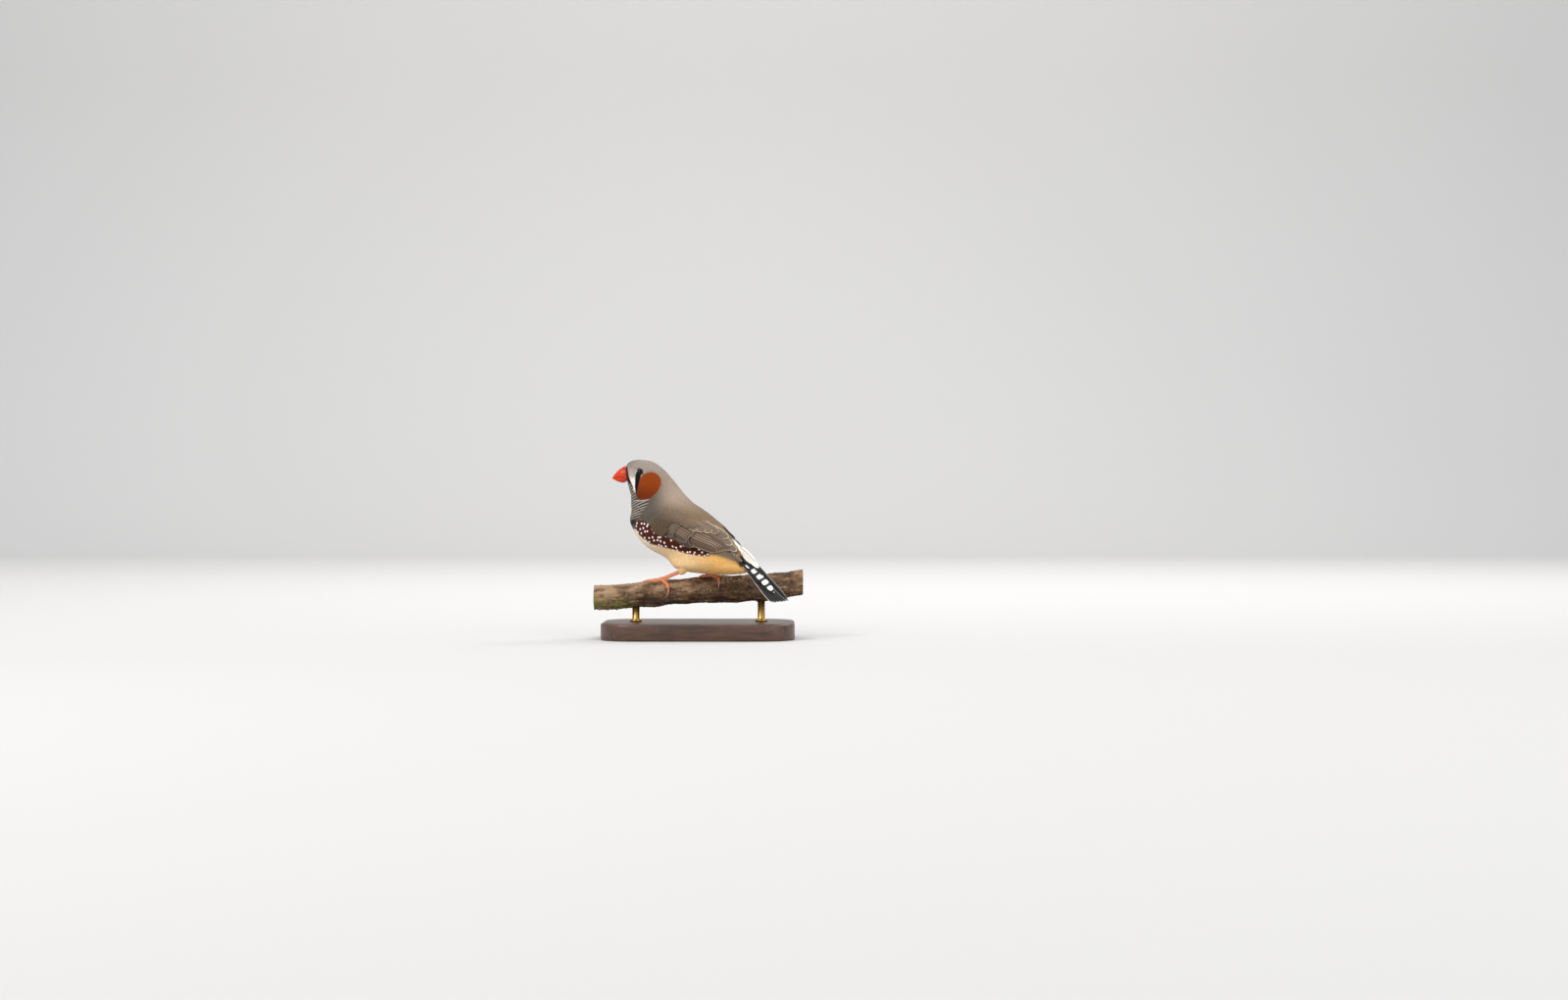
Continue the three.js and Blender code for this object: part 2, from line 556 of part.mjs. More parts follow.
// Tiers of wing feathers from the lowest layer to the highest. Roots and tips are places on the wing, as
// shares of its length and depth; the first pair is the tier's lowest feather and the second its highest.
const WING_TIERS = [
  // primaries
  { count: 5, root: [[0.42, 0.12], [0.46, 0.5]], tip: [[0.98, 0.4], [0.86, 0.62]], half: [1.6, 2], lift: [-0.2, 0.3] },
  // secondaries
  { count: 3, root: [[0.36, 0.3], [0.34, 0.66]], tip: [[0.79, 0.34], [0.83, 0.72]], half: [2.4, 2.6], lift: [0.35, 0.75] },
  // tertials
  { count: 3, root: [[0.36, 0.7], [0.3, 0.9]], tip: [[0.87, 0.86], [0.7, 0.97]], half: [2.5, 2.7], lift: [0.85, 1.3] },
  // primary coverts
  { count: 2, root: [[0.26, 0.06], [0.26, 0.18]], tip: [[0.52, 0.06], [0.5, 0.2]], half: [1.3, 1.3], lift: [0.4, 0.6] },
  // alula
  { count: 1, root: [[0.12, 0.08], [0.12, 0.08]], tip: [[0.37, 0.09], [0.37, 0.09]], half: [1.5, 1.5], lift: [0.85, 0.85] },
  // greater coverts
  { count: 5, root: [[0.24, 0.2], [0.24, 0.8]], tip: [[0.48, 0.24], [0.45, 0.84]], half: [2.1, 2.2], lift: [0.75, 1.25] },
  // median coverts
  { count: 4, root: [[0.12, 0.2], [0.14, 0.76]], tip: [[0.32, 0.22], [0.31, 0.78]], half: [2.1, 2.3], lift: [1.1, 1.4] },
  // scapulars
  { count: 3, root: [[0.14, 0.7], [0.26, 0.9]], tip: [[0.36, 0.78], [0.54, 0.93]], half: [2.5, 2.7], lift: [1.4, 1.7] },
];

function wingVane(side, tier, share) {
  const pick = ([low, high]) => mix(low, high, share);
  const place = ([[u0, v0], [u1, v1]]) => [mix(u0, u1, share), mix(v0, v1, share)];
  const root = place(tier.root);
  const tip = place(tier.tip);
  const path = (a) => {
    const { point, normal } = wingFrame(side, mix(root[0], tip[0], a), mix(root[1], tip[1], a));
    point.addScaledVector(normal, pick(tier.lift) - 0.35 * (1 - a));
    return { point, normal };
  };
  return vane(path, pick(tier.half));
}

function wingSolid(side) {
  const vanes = WING_TIERS.flatMap((tier) =>
    Array.from({ length: tier.count }, (_, i) => wingVane(side, tier, i / Math.max(1, tier.count - 1))),
  );
  return joined([wingCore(side), ...vanes]).subtract(bodyClear);
}
add(bird, "wing_left", wingSolid(-1), WING_BROWN);
add(bird, "wing_right", wingSolid(1), WING_BROWN);

// Tail: six pairs of long feathers, stacked under the middle pair like a roof, with tail coverts above and below.
const TAIL_ROOT = v3(19, 0, 22.9);
const TAIL_SLOPE = THREE.MathUtils.degToRad(44.5);
const TAIL_AXIS = v3(Math.cos(TAIL_SLOPE), 0, -Math.sin(TAIL_SLOPE));
const TAIL_UP = v3(Math.sin(TAIL_SLOPE), 0, Math.cos(TAIL_SLOPE));
const tailPoint = (along, across, lift) =>
  TAIL_ROOT.clone()
    .addScaledVector(TAIL_AXIS, along)
    .addScaledVector(TAIL_UP, lift - 0.36 * Math.abs(across) ** 1.35)
    .add(v3(0, across, 0));

function tailFrame(along, across, lift) {
  const slope = tailPoint(along, across + 0.05, lift).sub(tailPoint(along, across - 0.05, lift));
  return { point: tailPoint(along, across, lift), normal: TAIL_AXIS.clone().cross(slope).negate().normalize() };
}

const TAIL_TIERS = [
  // the six pairs, from the outermost and lowest to the middle pair on top
  ...[4.8, 4.1, 3.3, 2.5, 1.6, 0.7].map((tip, i) => (
    { root: [7, 0.45 * tip], tip: [35.4 + 0.66 * i, tip], half: 1.9, lift: [-1.6 + 0.3 * i, -1.5 + 0.33 * i] }
  )),
  // coverts above the tail
  { root: [6, 1.9], tip: [26, 3.3], half: 1.9, lift: [0.2, 0.7] },
  { root: [5, 1.0], tip: [21, 1.8], half: 1.9, lift: [0.5, 1.1] },
  // coverts below it
  { root: [8, 1.6], tip: [20, 1.8], half: 2.0, lift: [-2.6, -2.1] },
];

function tailCore() {
  const across = 7;
  const rings = [[6, 3.4, 0.9, -3.0], [10, 3.8, 0.8, -2.8], [14, 3.9, 0.5, -2.3], [18, 3.6, 0.2, -1.6]].map(
    ([along, half, top, under]) => {
      const row = (lift, flip) =>
        Array.from({ length: across }, (_, k) => {
          const share = (flip ? -1 : 1) * ((2 * k) / (across - 1) - 1);
          return tailPoint(along, share * half, lift);
        });
      return [...row(top, false), ...row(under, true)];
    },
  );
  return solid(ringSurface(rings));
}

function tailVane(tier, side) {
  const path = (a) =>
    tailFrame(mix(tier.root[0], tier.tip[0], a), side * mix(tier.root[1], tier.tip[1], a), mix(...tier.lift, a));
  return vane(path, tier.half);
}
const tailVanes = TAIL_TIERS.flatMap((tier) => [-1, 1].map((side) => tailVane(tier, side)));
add(bird, "tail", joined([tailCore(), ...tailVanes]).subtract(bodyClear), TAIL_BLACK);

// Stand: a flat round-cornered base with a softened edge, and two rods that end under the bark.
function baseSolid() {
  const { length, width, height, corner, edge } = BASE;
  const outline = new THREE.Shape();
  const x = length / 2 - corner;
  const y = width / 2 - corner;
  [[x, y, 0], [-x, y, 1], [-x, -y, 2], [x, -y, 3]].forEach(([cx, cy, quarter]) => {
    outline.absarc(cx, cy, corner - edge, (quarter * Math.PI) / 2, ((quarter + 1) * Math.PI) / 2, false);
  });
  const block = new THREE.ExtrudeGeometry(outline, {
    depth: height - 2 * edge,
    bevelThickness: edge,
    bevelSize: edge,
    bevelSegments: 1,
    curveSegments: 6,
  });
  return placed(block, new THREE.Matrix4().makeTranslation(0, 0, edge));
}
const RODS = [["left", -30], ["right", 30]];
const ROD_RADIUS = 1.75;
add(finch, "stand_base", baseSolid(), STAND_WOOD);
for (const [name, x] of RODS) {
  const length = ROD_LENGTH + PERCH_RADIUS;
  const rod = new THREE.CylinderGeometry(ROD_RADIUS, ROD_RADIUS, length, 20);
  const stood = new THREE.Matrix4()
    .makeTranslation(x, perchAxis(x).y, BASE.height + GAP + length / 2)
    .multiply(new THREE.Matrix4().makeRotationX(Math.PI / 2));
  add(finch, "stand_rod_" + name, placed(rod, stood).subtract(perchClear), STAND_BRASS);
}

export default finch;
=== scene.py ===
"""A zebra finch cock, life size, on a cut length of branch that a plain display stand holds.

Sizes are in millimetres and become metres when a mesh is made. The world has X along the branch, Z up and
its origin in the middle of the stand's underside. The bird has its own frame, level with the branch's middle
line: x runs towards its tail, y towards its right side, and z up.
"""

import bpy
import numpy as np
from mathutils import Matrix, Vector


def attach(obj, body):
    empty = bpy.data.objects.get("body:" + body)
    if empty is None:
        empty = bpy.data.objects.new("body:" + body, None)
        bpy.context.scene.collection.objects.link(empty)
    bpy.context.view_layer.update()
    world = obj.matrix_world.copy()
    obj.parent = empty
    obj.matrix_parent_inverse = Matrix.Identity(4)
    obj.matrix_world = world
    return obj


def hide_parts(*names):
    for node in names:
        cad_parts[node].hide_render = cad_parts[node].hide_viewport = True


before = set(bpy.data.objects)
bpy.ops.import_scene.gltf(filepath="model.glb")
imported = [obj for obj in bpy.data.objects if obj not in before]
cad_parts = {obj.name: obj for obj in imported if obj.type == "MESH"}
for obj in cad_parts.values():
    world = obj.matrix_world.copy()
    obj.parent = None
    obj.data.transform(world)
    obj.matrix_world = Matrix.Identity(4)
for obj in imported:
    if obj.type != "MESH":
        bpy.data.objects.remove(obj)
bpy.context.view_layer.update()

# View, floor and light. The camera stands level with the bird and far enough off to keep the photograph's
# framing. The floor is one pale sheet of paper that sweeps up behind. The lamps are large and soft, and one
# of them is turned to the paper behind the bird.
MM = 0.001
BASE_HEIGHT = 8.0
ROD_LENGTH = 9.0
PERCH_RADIUS = 6.2
PERCH_HEIGHT = BASE_HEIGHT + ROD_LENGTH + PERCH_RADIUS
VIEW_ASIDE, VIEW_BACK, VIEW_RISE, VIEW_LENS = 40.9, 1100.0, 43.0, 52.7

camera = bpy.data.objects.new("camera", bpy.data.cameras.new("camera"))
camera.location = (VIEW_ASIDE * MM, -VIEW_BACK * MM, (PERCH_HEIGHT + VIEW_RISE) * MM)
camera.rotation_euler = (np.pi / 2, 0.0, 0.0)
camera.data.sensor_width = 36.0
camera.data.lens = VIEW_LENS
bpy.context.scene.collection.objects.link(camera)
bpy.context.scene.camera = camera
bpy.context.scene.view_settings.view_transform = "Standard"


def tint(code):
    """Linear light of a six-figure screen colour."""
    share = np.array([int(code[i : i + 2], 16) for i in (0, 2, 4)]) / 255
    return np.where(share <= 0.04045, share / 12.92, ((share + 0.055) / 1.055) ** 2.4)


def node(tree, kind, inputs=(), **settings):
    """A shader node with its settings, whose inputs are set to values or joined to other nodes' outputs."""
    made = tree.nodes.new("ShaderNode" + kind)
    for key, value in settings.items():
        setattr(made, key, value)
    for key, value in dict(inputs).items():
        if isinstance(value, bpy.types.NodeSocket):
            tree.links.new(value, made.inputs[key])
        elif made.inputs[key].type == "RGBA":
            made.inputs[key].default_value = (*value, 1.0)
        else:
            made.inputs[key].default_value = value
    return made


def finish(name, roughness, colour=(0.5, 0.5, 0.5), **constants):
    """A principled material. Constants, with underscores for spaces, are set on the shader's own sockets."""
    material = bpy.data.materials.new(name)
    material.use_nodes = True
    tree = material.node_tree
    shader = tree.nodes["Principled BSDF"]
    shader.inputs["Base Color"].default_value = (*colour, 1.0)
    shader.inputs["Roughness"].default_value = roughness
    for key, value in constants.items():
        shader.inputs[key.replace("_", " ")].default_value = value
    return material, tree, shader


PAPER_FRONT, PAPER_BEND, PAPER_RADIUS, PAPER_TOP, PAPER_HALF = -3.0, 1.6, 0.7, 3.0, 4.0  # in metres
PAPER_TINT = (0.56, 0.555, 0.545)


def sweep_paper():
    """Floor, quarter-circle bend and wall as one sheet: points along the profile, carried along X."""
    bend = np.linspace(0, np.pi / 2, 24)
    y = PAPER_BEND + PAPER_RADIUS * np.sin(bend)
    z = PAPER_RADIUS - PAPER_RADIUS * np.cos(bend)
    y = np.concatenate([[PAPER_FRONT, 0.0], y, [PAPER_BEND + PAPER_RADIUS]])
    z = np.concatenate([[0.0, 0.0], z, [PAPER_TOP]])
    x = np.array([-PAPER_HALF, PAPER_HALF])
    points = np.stack(np.broadcast_arrays(x[None, :], y[:, None], z[:, None]), -1).reshape(-1, 3)
    row = 2 * np.arange(len(y) - 1)
    mesh = bpy.data.meshes.new("paper")
    mesh.from_pydata(points.tolist(), [], np.stack([row, row + 1, row + 3, row + 2], 1).tolist())
    mesh.shade_smooth()
    return mesh


paper = bpy.data.objects.new("paper", sweep_paper())
paper.data.materials.append(finish("pale_paper", 0.9, PAPER_TINT)[0])
bpy.context.scene.collection.objects.link(paper)

BIRD_AIM, WALL_AIM = (0.0, 0.0, 0.05), (0.0, 2.3, 0.7)
LAMPS = {
    # place and the point it is turned to, in metres, then width, power and colour
    "key": ((-0.75, -0.75, 0.85), BIRD_AIM, 0.6, 8.5, (1.0, 0.97, 0.93)),
    "fill": ((0.9, -0.9, 0.45), BIRD_AIM, 0.9, 4.0, (0.95, 0.97, 1.0)),
    "top": ((0.05, 0.25, 1.1), BIRD_AIM, 0.7, 4.0, (1.0, 0.99, 0.97)),
    "rim": ((0.9, 0.7, 1.1), BIRD_AIM, 0.6, 5.5, (1.0, 0.98, 0.95)),
    "wall": ((0.0, 0.6, 1.5), WALL_AIM, 1.5, 16.0, (1.0, 0.99, 0.97)),
}
ROOM_TINT, ROOM_STRENGTH = (0.95, 0.96, 1.0, 1.0), 0.9
for name, (place, aim, width, power, colour) in LAMPS.items():
    light = bpy.data.lights.new(name, "AREA")
    light.shape = "DISK"
    light.size = width
    light.energy = power
    light.color = colour
    held = bpy.data.objects.new(name, light)
    held.location = place
    held.rotation_euler = (Vector(aim) - Vector(place)).to_track_quat("-Z", "Y").to_euler()
    bpy.context.scene.collection.objects.link(held)
room = bpy.data.worlds.new("room")
room.use_nodes = True
room.node_tree.nodes["Background"].inputs["Color"].default_value = ROOM_TINT
room.node_tree.nodes["Background"].inputs["Strength"].default_value = ROOM_STRENGTH
bpy.context.scene.world = room


# Stand base. A flat block of dark oiled hardwood with round corners. Its top edge is rounded over and its
# underside is flat.
BASE_LENGTH, BASE_WIDTH, BASE_CORNER, BASE_EDGE = 92.0, 56.0, 16.0, 1.2
WALNUT_DARK, WALNUT_LIGHT, WALNUT_PORE = tint("2c1a12"), tint("573826"), tint("170d09")


def ramp(tree, share, *stops):
    """Colour ramp through (position, colour) stops."""
    made = node(tree, "ValToRGB", {0: share})
    elements = made.color_ramp.elements
    elements.remove(elements[1])
    elements[0].position, elements[0].color = stops[0][0], (*stops[0][1], 1.0)
    for position, colour in stops[1:]:
        elements.new(position).color = (*colour, 1.0)
    return made.outputs[0]


def mixed(tree, share, first, second, kind="MIX"):
    """Two colours mixed by a share from 0 to 1, or blended in another kind by that share."""
    made = node(tree, "Mix", {0: share, 6: first, 7: second}, data_type="RGBA", blend_type=kind)
    return made.outputs[2]


def maths(tree, operation, *values, clamp=False):
    """One arithmetic step on up to three values; clamp holds its result between 0 and 1."""
    return node(tree, "Math", dict(enumerate(values)), operation=operation, use_clamp=clamp).outputs[0]


def noise(tree, size, detail=4.0, stretch=(1.0, 1.0, 1.0), distortion=0.0):
    """Noise over the object's own coordinates: lumps of a size in millimetres, drawn out by stretch."""
    place = node(tree, "TexCoord").outputs["Object"]
    scale = [1.0 / (size * MM * s) for s in stretch]
    mapped = node(tree, "Mapping", {"Vector": place, "Scale": scale}).outputs[0]
    inputs = {"Vector": mapped, "Scale": 1.0, "Detail": detail, "Roughness": 0.6, "Distortion": distortion}
    return node(tree, "TexNoise", inputs).outputs[0]


def bump(tree, shader, height, depth):
    """Small relief whose full height is depth, in millimetres."""
    made = node(tree, "Bump", {"Height": height, "Strength": 1.0, "Distance": depth * MM})
    tree.links.new(made.outputs[0], shader.inputs["Normal"])


def paint(tree, shader, colour=None, roughness=None):
    """Joins a colour and a roughness to the shader."""
    for socket, value in (("Base Color", colour), ("Roughness", roughness)):
        if value is not None:
            tree.links.new(value, shader.inputs[socket])


def signed_volume(points, faces):
    """Six times the volume inside the faces, positive where they point outwards."""
    total = 0.0
    for corners in faces:
        for k in range(1, corners.shape[1] - 1):
            a, b, c = points[corners[:, 0]], points[corners[:, k]], points[corners[:, k + 1]]
            total += np.einsum("ij,ij->", a, np.cross(b, c))
    return total


def piece(
    name, points, faces, materials, slot, stands_for=(),
    face_materials=None, uv=None, thin=False, **attributes
):
    """A mesh piece from points in millimetres and arrays of three- or four-cornered faces.

    Faces are turned outwards as a whole. Attributes are one row for each point: three numbers make a colour
    where the name ends in colour, and a vector otherwise. uv is one row for each point too. A thin piece
    keeps its rims sharp, so that its broad faces are shaded flat out to them. stands_for names the parts
    whose place the piece takes.
    """
    if signed_volume(points, faces) < 0:
        faces = [corners[:, ::-1] for corners in faces]
    counts = np.concatenate([np.full(len(corners), corners.shape[1]) for corners in faces])
    corners = np.concatenate([c.ravel() for c in faces]).astype(np.int32)
    mesh = bpy.data.meshes.new(name)
    mesh.vertices.add(len(points))
    mesh.vertices.foreach_set("co", (np.asarray(points) * MM).astype(np.float32).ravel())
    mesh.loops.add(len(corners))
    mesh.loops.foreach_set("vertex_index", corners)
    mesh.polygons.add(len(counts))
    mesh.polygons.foreach_set("loop_start", (np.cumsum(counts) - counts).astype(np.int32))
    mesh.polygons.foreach_set("use_smooth", np.ones(len(counts), bool))
    for material in materials:
        mesh.materials.append(material)
    if face_materials is not None:
        mesh.polygons.foreach_set("material_index", face_materials.astype(np.int32))
    for key, rows in attributes.items():
        if key.endswith("colour"):
            rows = np.concatenate([rows, np.ones((len(rows), 1))], 1)
            layer = mesh.attributes.new(key, "FLOAT_COLOR", "POINT")
            layer.data.foreach_set("color", rows.astype(np.float32).ravel())
        else:
            layer = mesh.attributes.new(key, "FLOAT_VECTOR", "POINT")
            layer.data.foreach_set("vector", rows.astype(np.float32).ravel())
    if uv is not None:
        layer = mesh.uv_layers.new(name="OFBake")
        layer.data.foreach_set("uv", uv[corners].astype(np.float32).ravel())
    mesh.update(calc_edges=True)
    if thin:
        mesh.set_sharp_from_angle(angle=np.radians(60))
    made = bpy.data.objects.new(name, mesh)
    bpy.context.scene.collection.objects.link(made)
    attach(made, "root")
    if stands_for:
        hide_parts(*stands_for)
    return made


def closed_rings(rings):
    """Points and faces of rings joined into one closed skin, with a fan to the middle of each end ring."""
    rows, around = rings.shape[:2]
    k = np.arange(around)
    ahead = (k + 1) % around
    start = around * np.arange(rows - 1)[:, None]
    quads = np.stack([start + k, start + ahead, start + around + ahead, start + around + k], -1)
    points = np.vstack([rings.reshape(-1, 3), rings[0].mean(0), rings[-1].mean(0)])
    first = np.stack([ahead, k, np.full(around, rows * around)], 1)
    last_row = (rows - 1) * around
    last = np.stack([last_row + k, last_row + ahead, np.full(around, rows * around + 1)], 1)
    return points, [quads.reshape(-1, 4), first, last]


def base_rings():
    """Outlines of the block, one above the other: corner centre plus radius less inset, along each angle.

    The lower edge is eased in two slants, the upper edge is a quarter circle, and the first and last rings
    close in to just short of the corners' centres.
    """
    turn = np.linspace(0, np.pi / 2, 7)
    closed = BASE_CORNER - 0.1
    inset = np.concatenate([[closed, 0.7, 0.2, 0.0], BASE_EDGE * (1 - np.cos(turn)), [2.2, closed]])
    height = np.concatenate([[0.0, 0.0, 0.2, 0.7], BASE_HEIGHT - BASE_EDGE * (1 - np.sin(turn))])
    height = np.concatenate([height, [BASE_HEIGHT, BASE_HEIGHT]])
    angle = 2 * np.pi * (np.arange(96) + 0.5) / 96
    radius = (BASE_CORNER - inset)[:, None]
    x = np.sign(np.cos(angle)) * (BASE_LENGTH / 2 - BASE_CORNER) + radius * np.cos(angle)
    y = np.sign(np.sin(angle)) * (BASE_WIDTH / 2 - BASE_CORNER) + radius * np.sin(angle)
    return np.stack([x, y, np.broadcast_to(height[:, None], x.shape)], -1)


walnut, tree, shader = finish("oiled_walnut", 0.42, Coat_Weight=0.25, Coat_Roughness=0.25)
figure = noise(tree, 5.0, 5.0, (9.0, 1.0, 1.0), 0.6)
pores = noise(tree, 0.5, 2.0, (14.0, 1.0, 1.0))
grain = ramp(tree, figure, (0.3, WALNUT_DARK), (0.52, WALNUT_LIGHT), (0.7, WALNUT_DARK))
pore_mask = maths(tree, "SMOOTH_MIN", maths(tree, "MULTIPLY", pores, 1.9), 1.0, 0.1, clamp=True)
roughness = maths(tree, "MULTIPLY_ADD", pores, -0.25, 0.55)
paint(tree, shader, mixed(tree, pore_mask, WALNUT_PORE, grain), roughness)
bump(tree, shader, pores, 0.05)
piece("base_block", *closed_rings(base_rings()), [walnut], "stand_wood", ["stand_base"])


# Branch. A cut length of a living branch, thicker to the right, with thin wrinkled bark, a swirled scar
# behind the right foot, lichen flecks, and moss under its left end. Both ends are sawn and show pale wood.
PERCH_FROM, PERCH_TO = -50.0, 50.0
PERCH_KNOTS = ((-38.0, 2.4, 1.3), (30.0, -2.6, 1.1))  # place along it, turn round it, height
SCAR = (17.5, 0.72)  # place along it and turn round it
CUT_RINGS = 3  # rings that lie on each sawn face
GROWTH_RING = 0.75
BARK_DARK, BARK_MID, BARK_PALE = tint("3a2513"), tint("6f5034"), tint("b09070")
MOSS_GREEN, LICHEN = tint("6a6a30"), tint("b9b39a")
SAWN_PALE, SAWN_RING = tint("c9a678"), tint("8f6a42")
BLACK, WHITE = (0, 0, 0), (1, 1, 1)


def through(points):
    """Smooth curve through points numbered from 0.

    Between two points each coordinate is the cubic whose slope at either end is half the difference of that
    end's neighbours, and beyond the ends the last step is repeated.
    """
    knots = np.asarray(points, float).reshape(len(points), -1)
    knots = np.vstack([2 * knots[0] - knots[1], knots, 2 * knots[-1] - knots[-2]])
    spans = len(points) - 1

    def curve(s):
        s = np.clip(np.asarray(s, float), 0, spans)
        i = np.minimum(s.astype(int), spans - 1)
        t = (s - i)[..., None]
        a, b, c, d = knots[i], knots[i + 1], knots[i + 2], knots[i + 3]
        square, cube = 2 * a - 5 * b + 4 * c - d, 3 * b - 3 * c + d - a
        return 0.5 * (2 * b + (c - a) * t + square * t**2 + cube * t**3)

    return curve


PERCH_LINE = through([(-0.35, -3.6), (-0.45, -2.2), (0, -0.2), (0.45, 0.8), (0.35, 3.5)])
PERCH_RADII = through([5.4, 5.8, PERCH_RADIUS, 6.35, 6.1])


def bell(value, centre, spread):
    """A bump that is 1 at the centre and falls off with the square of the distance over the spread."""
    return np.exp(-(((value - centre) / spread) ** 2))


def smooth_step(value, low, high):
    """0 below low, 1 above high, and between them three times the share squared less twice its cube."""
    share = np.clip((value - low) / (high - low), 0, 1)
    return share * share * (3 - 2 * share)


def wrapped(angle):
    """An angle brought between minus and plus half a turn."""
    return np.arctan2(np.sin(angle), np.cos(angle))


def perch_axis(x):
    """Middle line of the branch, a point for each x."""
    line = PERCH_LINE(4 * (x - PERCH_FROM) / (PERCH_TO - PERCH_FROM))
    return np.stack([x, line[..., 0], PERCH_HEIGHT + line[..., 1]], -1)


def perch_point(x, angle, out=0.0, share=1.0):
    """Point over the bark: the middle line's, plus a share of the radius with its slow wave, knots and out.

    The angle is 0 on top and grows towards the viewer's side, which is -Y.
    """
    x, angle, out = np.broadcast_arrays(x, angle, out)
    knots = 0
    for at, turn, size in PERCH_KNOTS:
        knots = knots + size * bell(x, at, 3.4) * bell(wrapped(angle - turn), 0, 0.55)
    radius = PERCH_RADII(4 * (x - PERCH_FROM) / (PERCH_TO - PERCH_FROM))[..., 0]
    radius = (radius + 0.12 * np.sin(x / 5 + 2 * angle) + knots + out) * share
    return perch_axis(x) + np.stack([0 * x, -radius * np.sin(angle), radius * np.cos(angle)], -1)


def ripples(points, wavelength, seed, waves=22):
    """Smooth random relief of about plus or minus 1: plane waves of random heading and phase, added up."""
    draw = np.random.default_rng(seed)
    heading = draw.normal(size=(waves, 3))
    steepness = (2 * np.pi / wavelength) * draw.uniform(0.6, 1.5, (waves, 1))
    heading *= steepness / np.linalg.norm(heading, axis=1)[:, None]
    total = np.zeros(points.shape[:-1])
    for direction, phase in zip(heading, draw.uniform(0, 2 * np.pi, waves)):
        total += np.sin(points @ direction + phase)
    return total / np.sqrt(waves / 2) / 1.4


def bark_relief(x, angle):
    """Height of furrows along the branch, finer cross wrinkles, rings round the scar, and moss.

    Furrows and wrinkles are ripples drawn out along and across, and the rings are a cosine of the distance.
    """
    wood = np.stack([x, PERCH_RADIUS * np.sin(angle), PERCH_RADIUS * np.cos(angle)], -1)
    furrows = 0.16 * ripples(wood * (0.16, 1, 1), 2.2, 3) + 0.07 * ripples(wood * (0.3, 1, 1), 0.9, 4)
    wrinkles = 0.08 * ripples(wood * (1, 0.35, 0.35), 1.6, 5) + 0.3 * ripples(wood, 17.0, 6, 8)
    far = np.hypot((x - SCAR[0]) / 1.5, PERCH_RADIUS * wrapped(angle - SCAR[1]))
    scar = np.exp(-((far / 4.0) ** 2)) * (0.4 * np.cos(2 * np.pi * far / 1.3 + 0.8 * furrows) + 0.25)
    moss = smooth_step(-x, 29, 40) * smooth_step(-np.cos(angle), -0.3, 0.5)
    moss = moss * (0.15 + 0.26 * np.maximum(0, ripples(wood, 1.1, 8) + ripples(wood, 3.0, 9)))
    return furrows + wrinkles + scar + moss


def perch_rings(rows=470, around=150):
    """Rings from one sawn face along the bark to the other; share shrinks them to cover the sawn faces."""
    x = np.linspace(PERCH_FROM, PERCH_TO, rows)
    x = np.concatenate([[PERCH_FROM] * CUT_RINGS, x, [PERCH_TO] * CUT_RINGS])
    share = np.concatenate([[0.02, 0.5, 0.93], np.ones(rows), [0.93, 0.5, 0.02]])
    share[[CUT_RINGS, -CUT_RINGS - 1]] = 0.965
    angle = 2 * np.pi * np.arange(around) / around
    x, share, angle = x[:, None] + 0 * angle, share[:, None] + 0 * angle, angle + 0 * x[:, None]
    relief = bark_relief(x, angle)
    return perch_point(x, angle, relief, share), relief


def given(tree, name):
    """The three numbers of a vector that the mesh carries."""
    vector = node(tree, "Attribute", attribute_name=name).outputs["Vector"]
    return node(tree, "SeparateXYZ", {0: vector}).outputs


def ranged(tree, value, low, high, start=0.0, end=1.0):
    """A value carried evenly from low and high to start and end, and held there beyond them."""
    return node(tree, "MapRange", {0: value, 1: low, 2: high, 3: start, 4: end}).outputs[0]


bark, tree, shader = finish("branch_bark", 0.85)
mottle = noise(tree, 2.6, 8.0, (2.2, 1.0, 1.0))
specks = noise(tree, 0.55, 3.0)
streaks = noise(tree, 0.8, 4.0, (7.0, 1.0, 1.0))
position = node(tree, "SeparateXYZ", {0: node(tree, "TexCoord").outputs["Object"]}).outputs
paler_left = ranged(tree, position[0], 0.0, -0.045, 0.0, 0.14)
# the lower side of the bark is painted darker, as painted shade under the branch
painted_shade_below = ranged(tree, position[2], 0.024, 0.017, 0.0, -0.16)
tone = maths(tree, "ADD", maths(tree, "ADD", mottle, paler_left), painted_shade_below)
# the bark is painted lighter on its ridges and darker in its furrows and hollows, following its relief:
# painted light and shade
tone = maths(tree, "MULTIPLY_ADD", given(tree, "relief")[0], 0.3, tone)
ground = ramp(tree, tone, (0.3, BARK_DARK), (0.5, BARK_MID), (0.72, BARK_PALE))
ground = mixed(tree, maths(tree, "MULTIPLY", streaks, 0.5), ground, BARK_DARK)
grown_over = ramp(tree, noise(tree, 7.0, 3.0), (0.48, BLACK), (0.62, WHITE))
flecks = maths(tree, "MULTIPLY", ramp(tree, specks, (0.56, BLACK), (0.66, WHITE)), grown_over)
ground = mixed(tree, maths(tree, "MULTIPLY", flecks, 0.6), ground, LICHEN)
left_end = ranged(tree, position[0], -0.026, -0.038)
underneath = ranged(tree, position[2], 0.0225, 0.0165)
mossy = maths(tree, "MULTIPLY", left_end, underneath)
mossy = maths(tree, "MULTIPLY", mossy, ramp(tree, mottle, (0.42, BLACK), (0.52, WHITE)))
paint(tree, shader, mixed(tree, mossy, ground, MOSS_GREEN))
bump(tree, shader, maths(tree, "ADD", maths(tree, "MULTIPLY", streaks, 0.6), specks), 0.22)

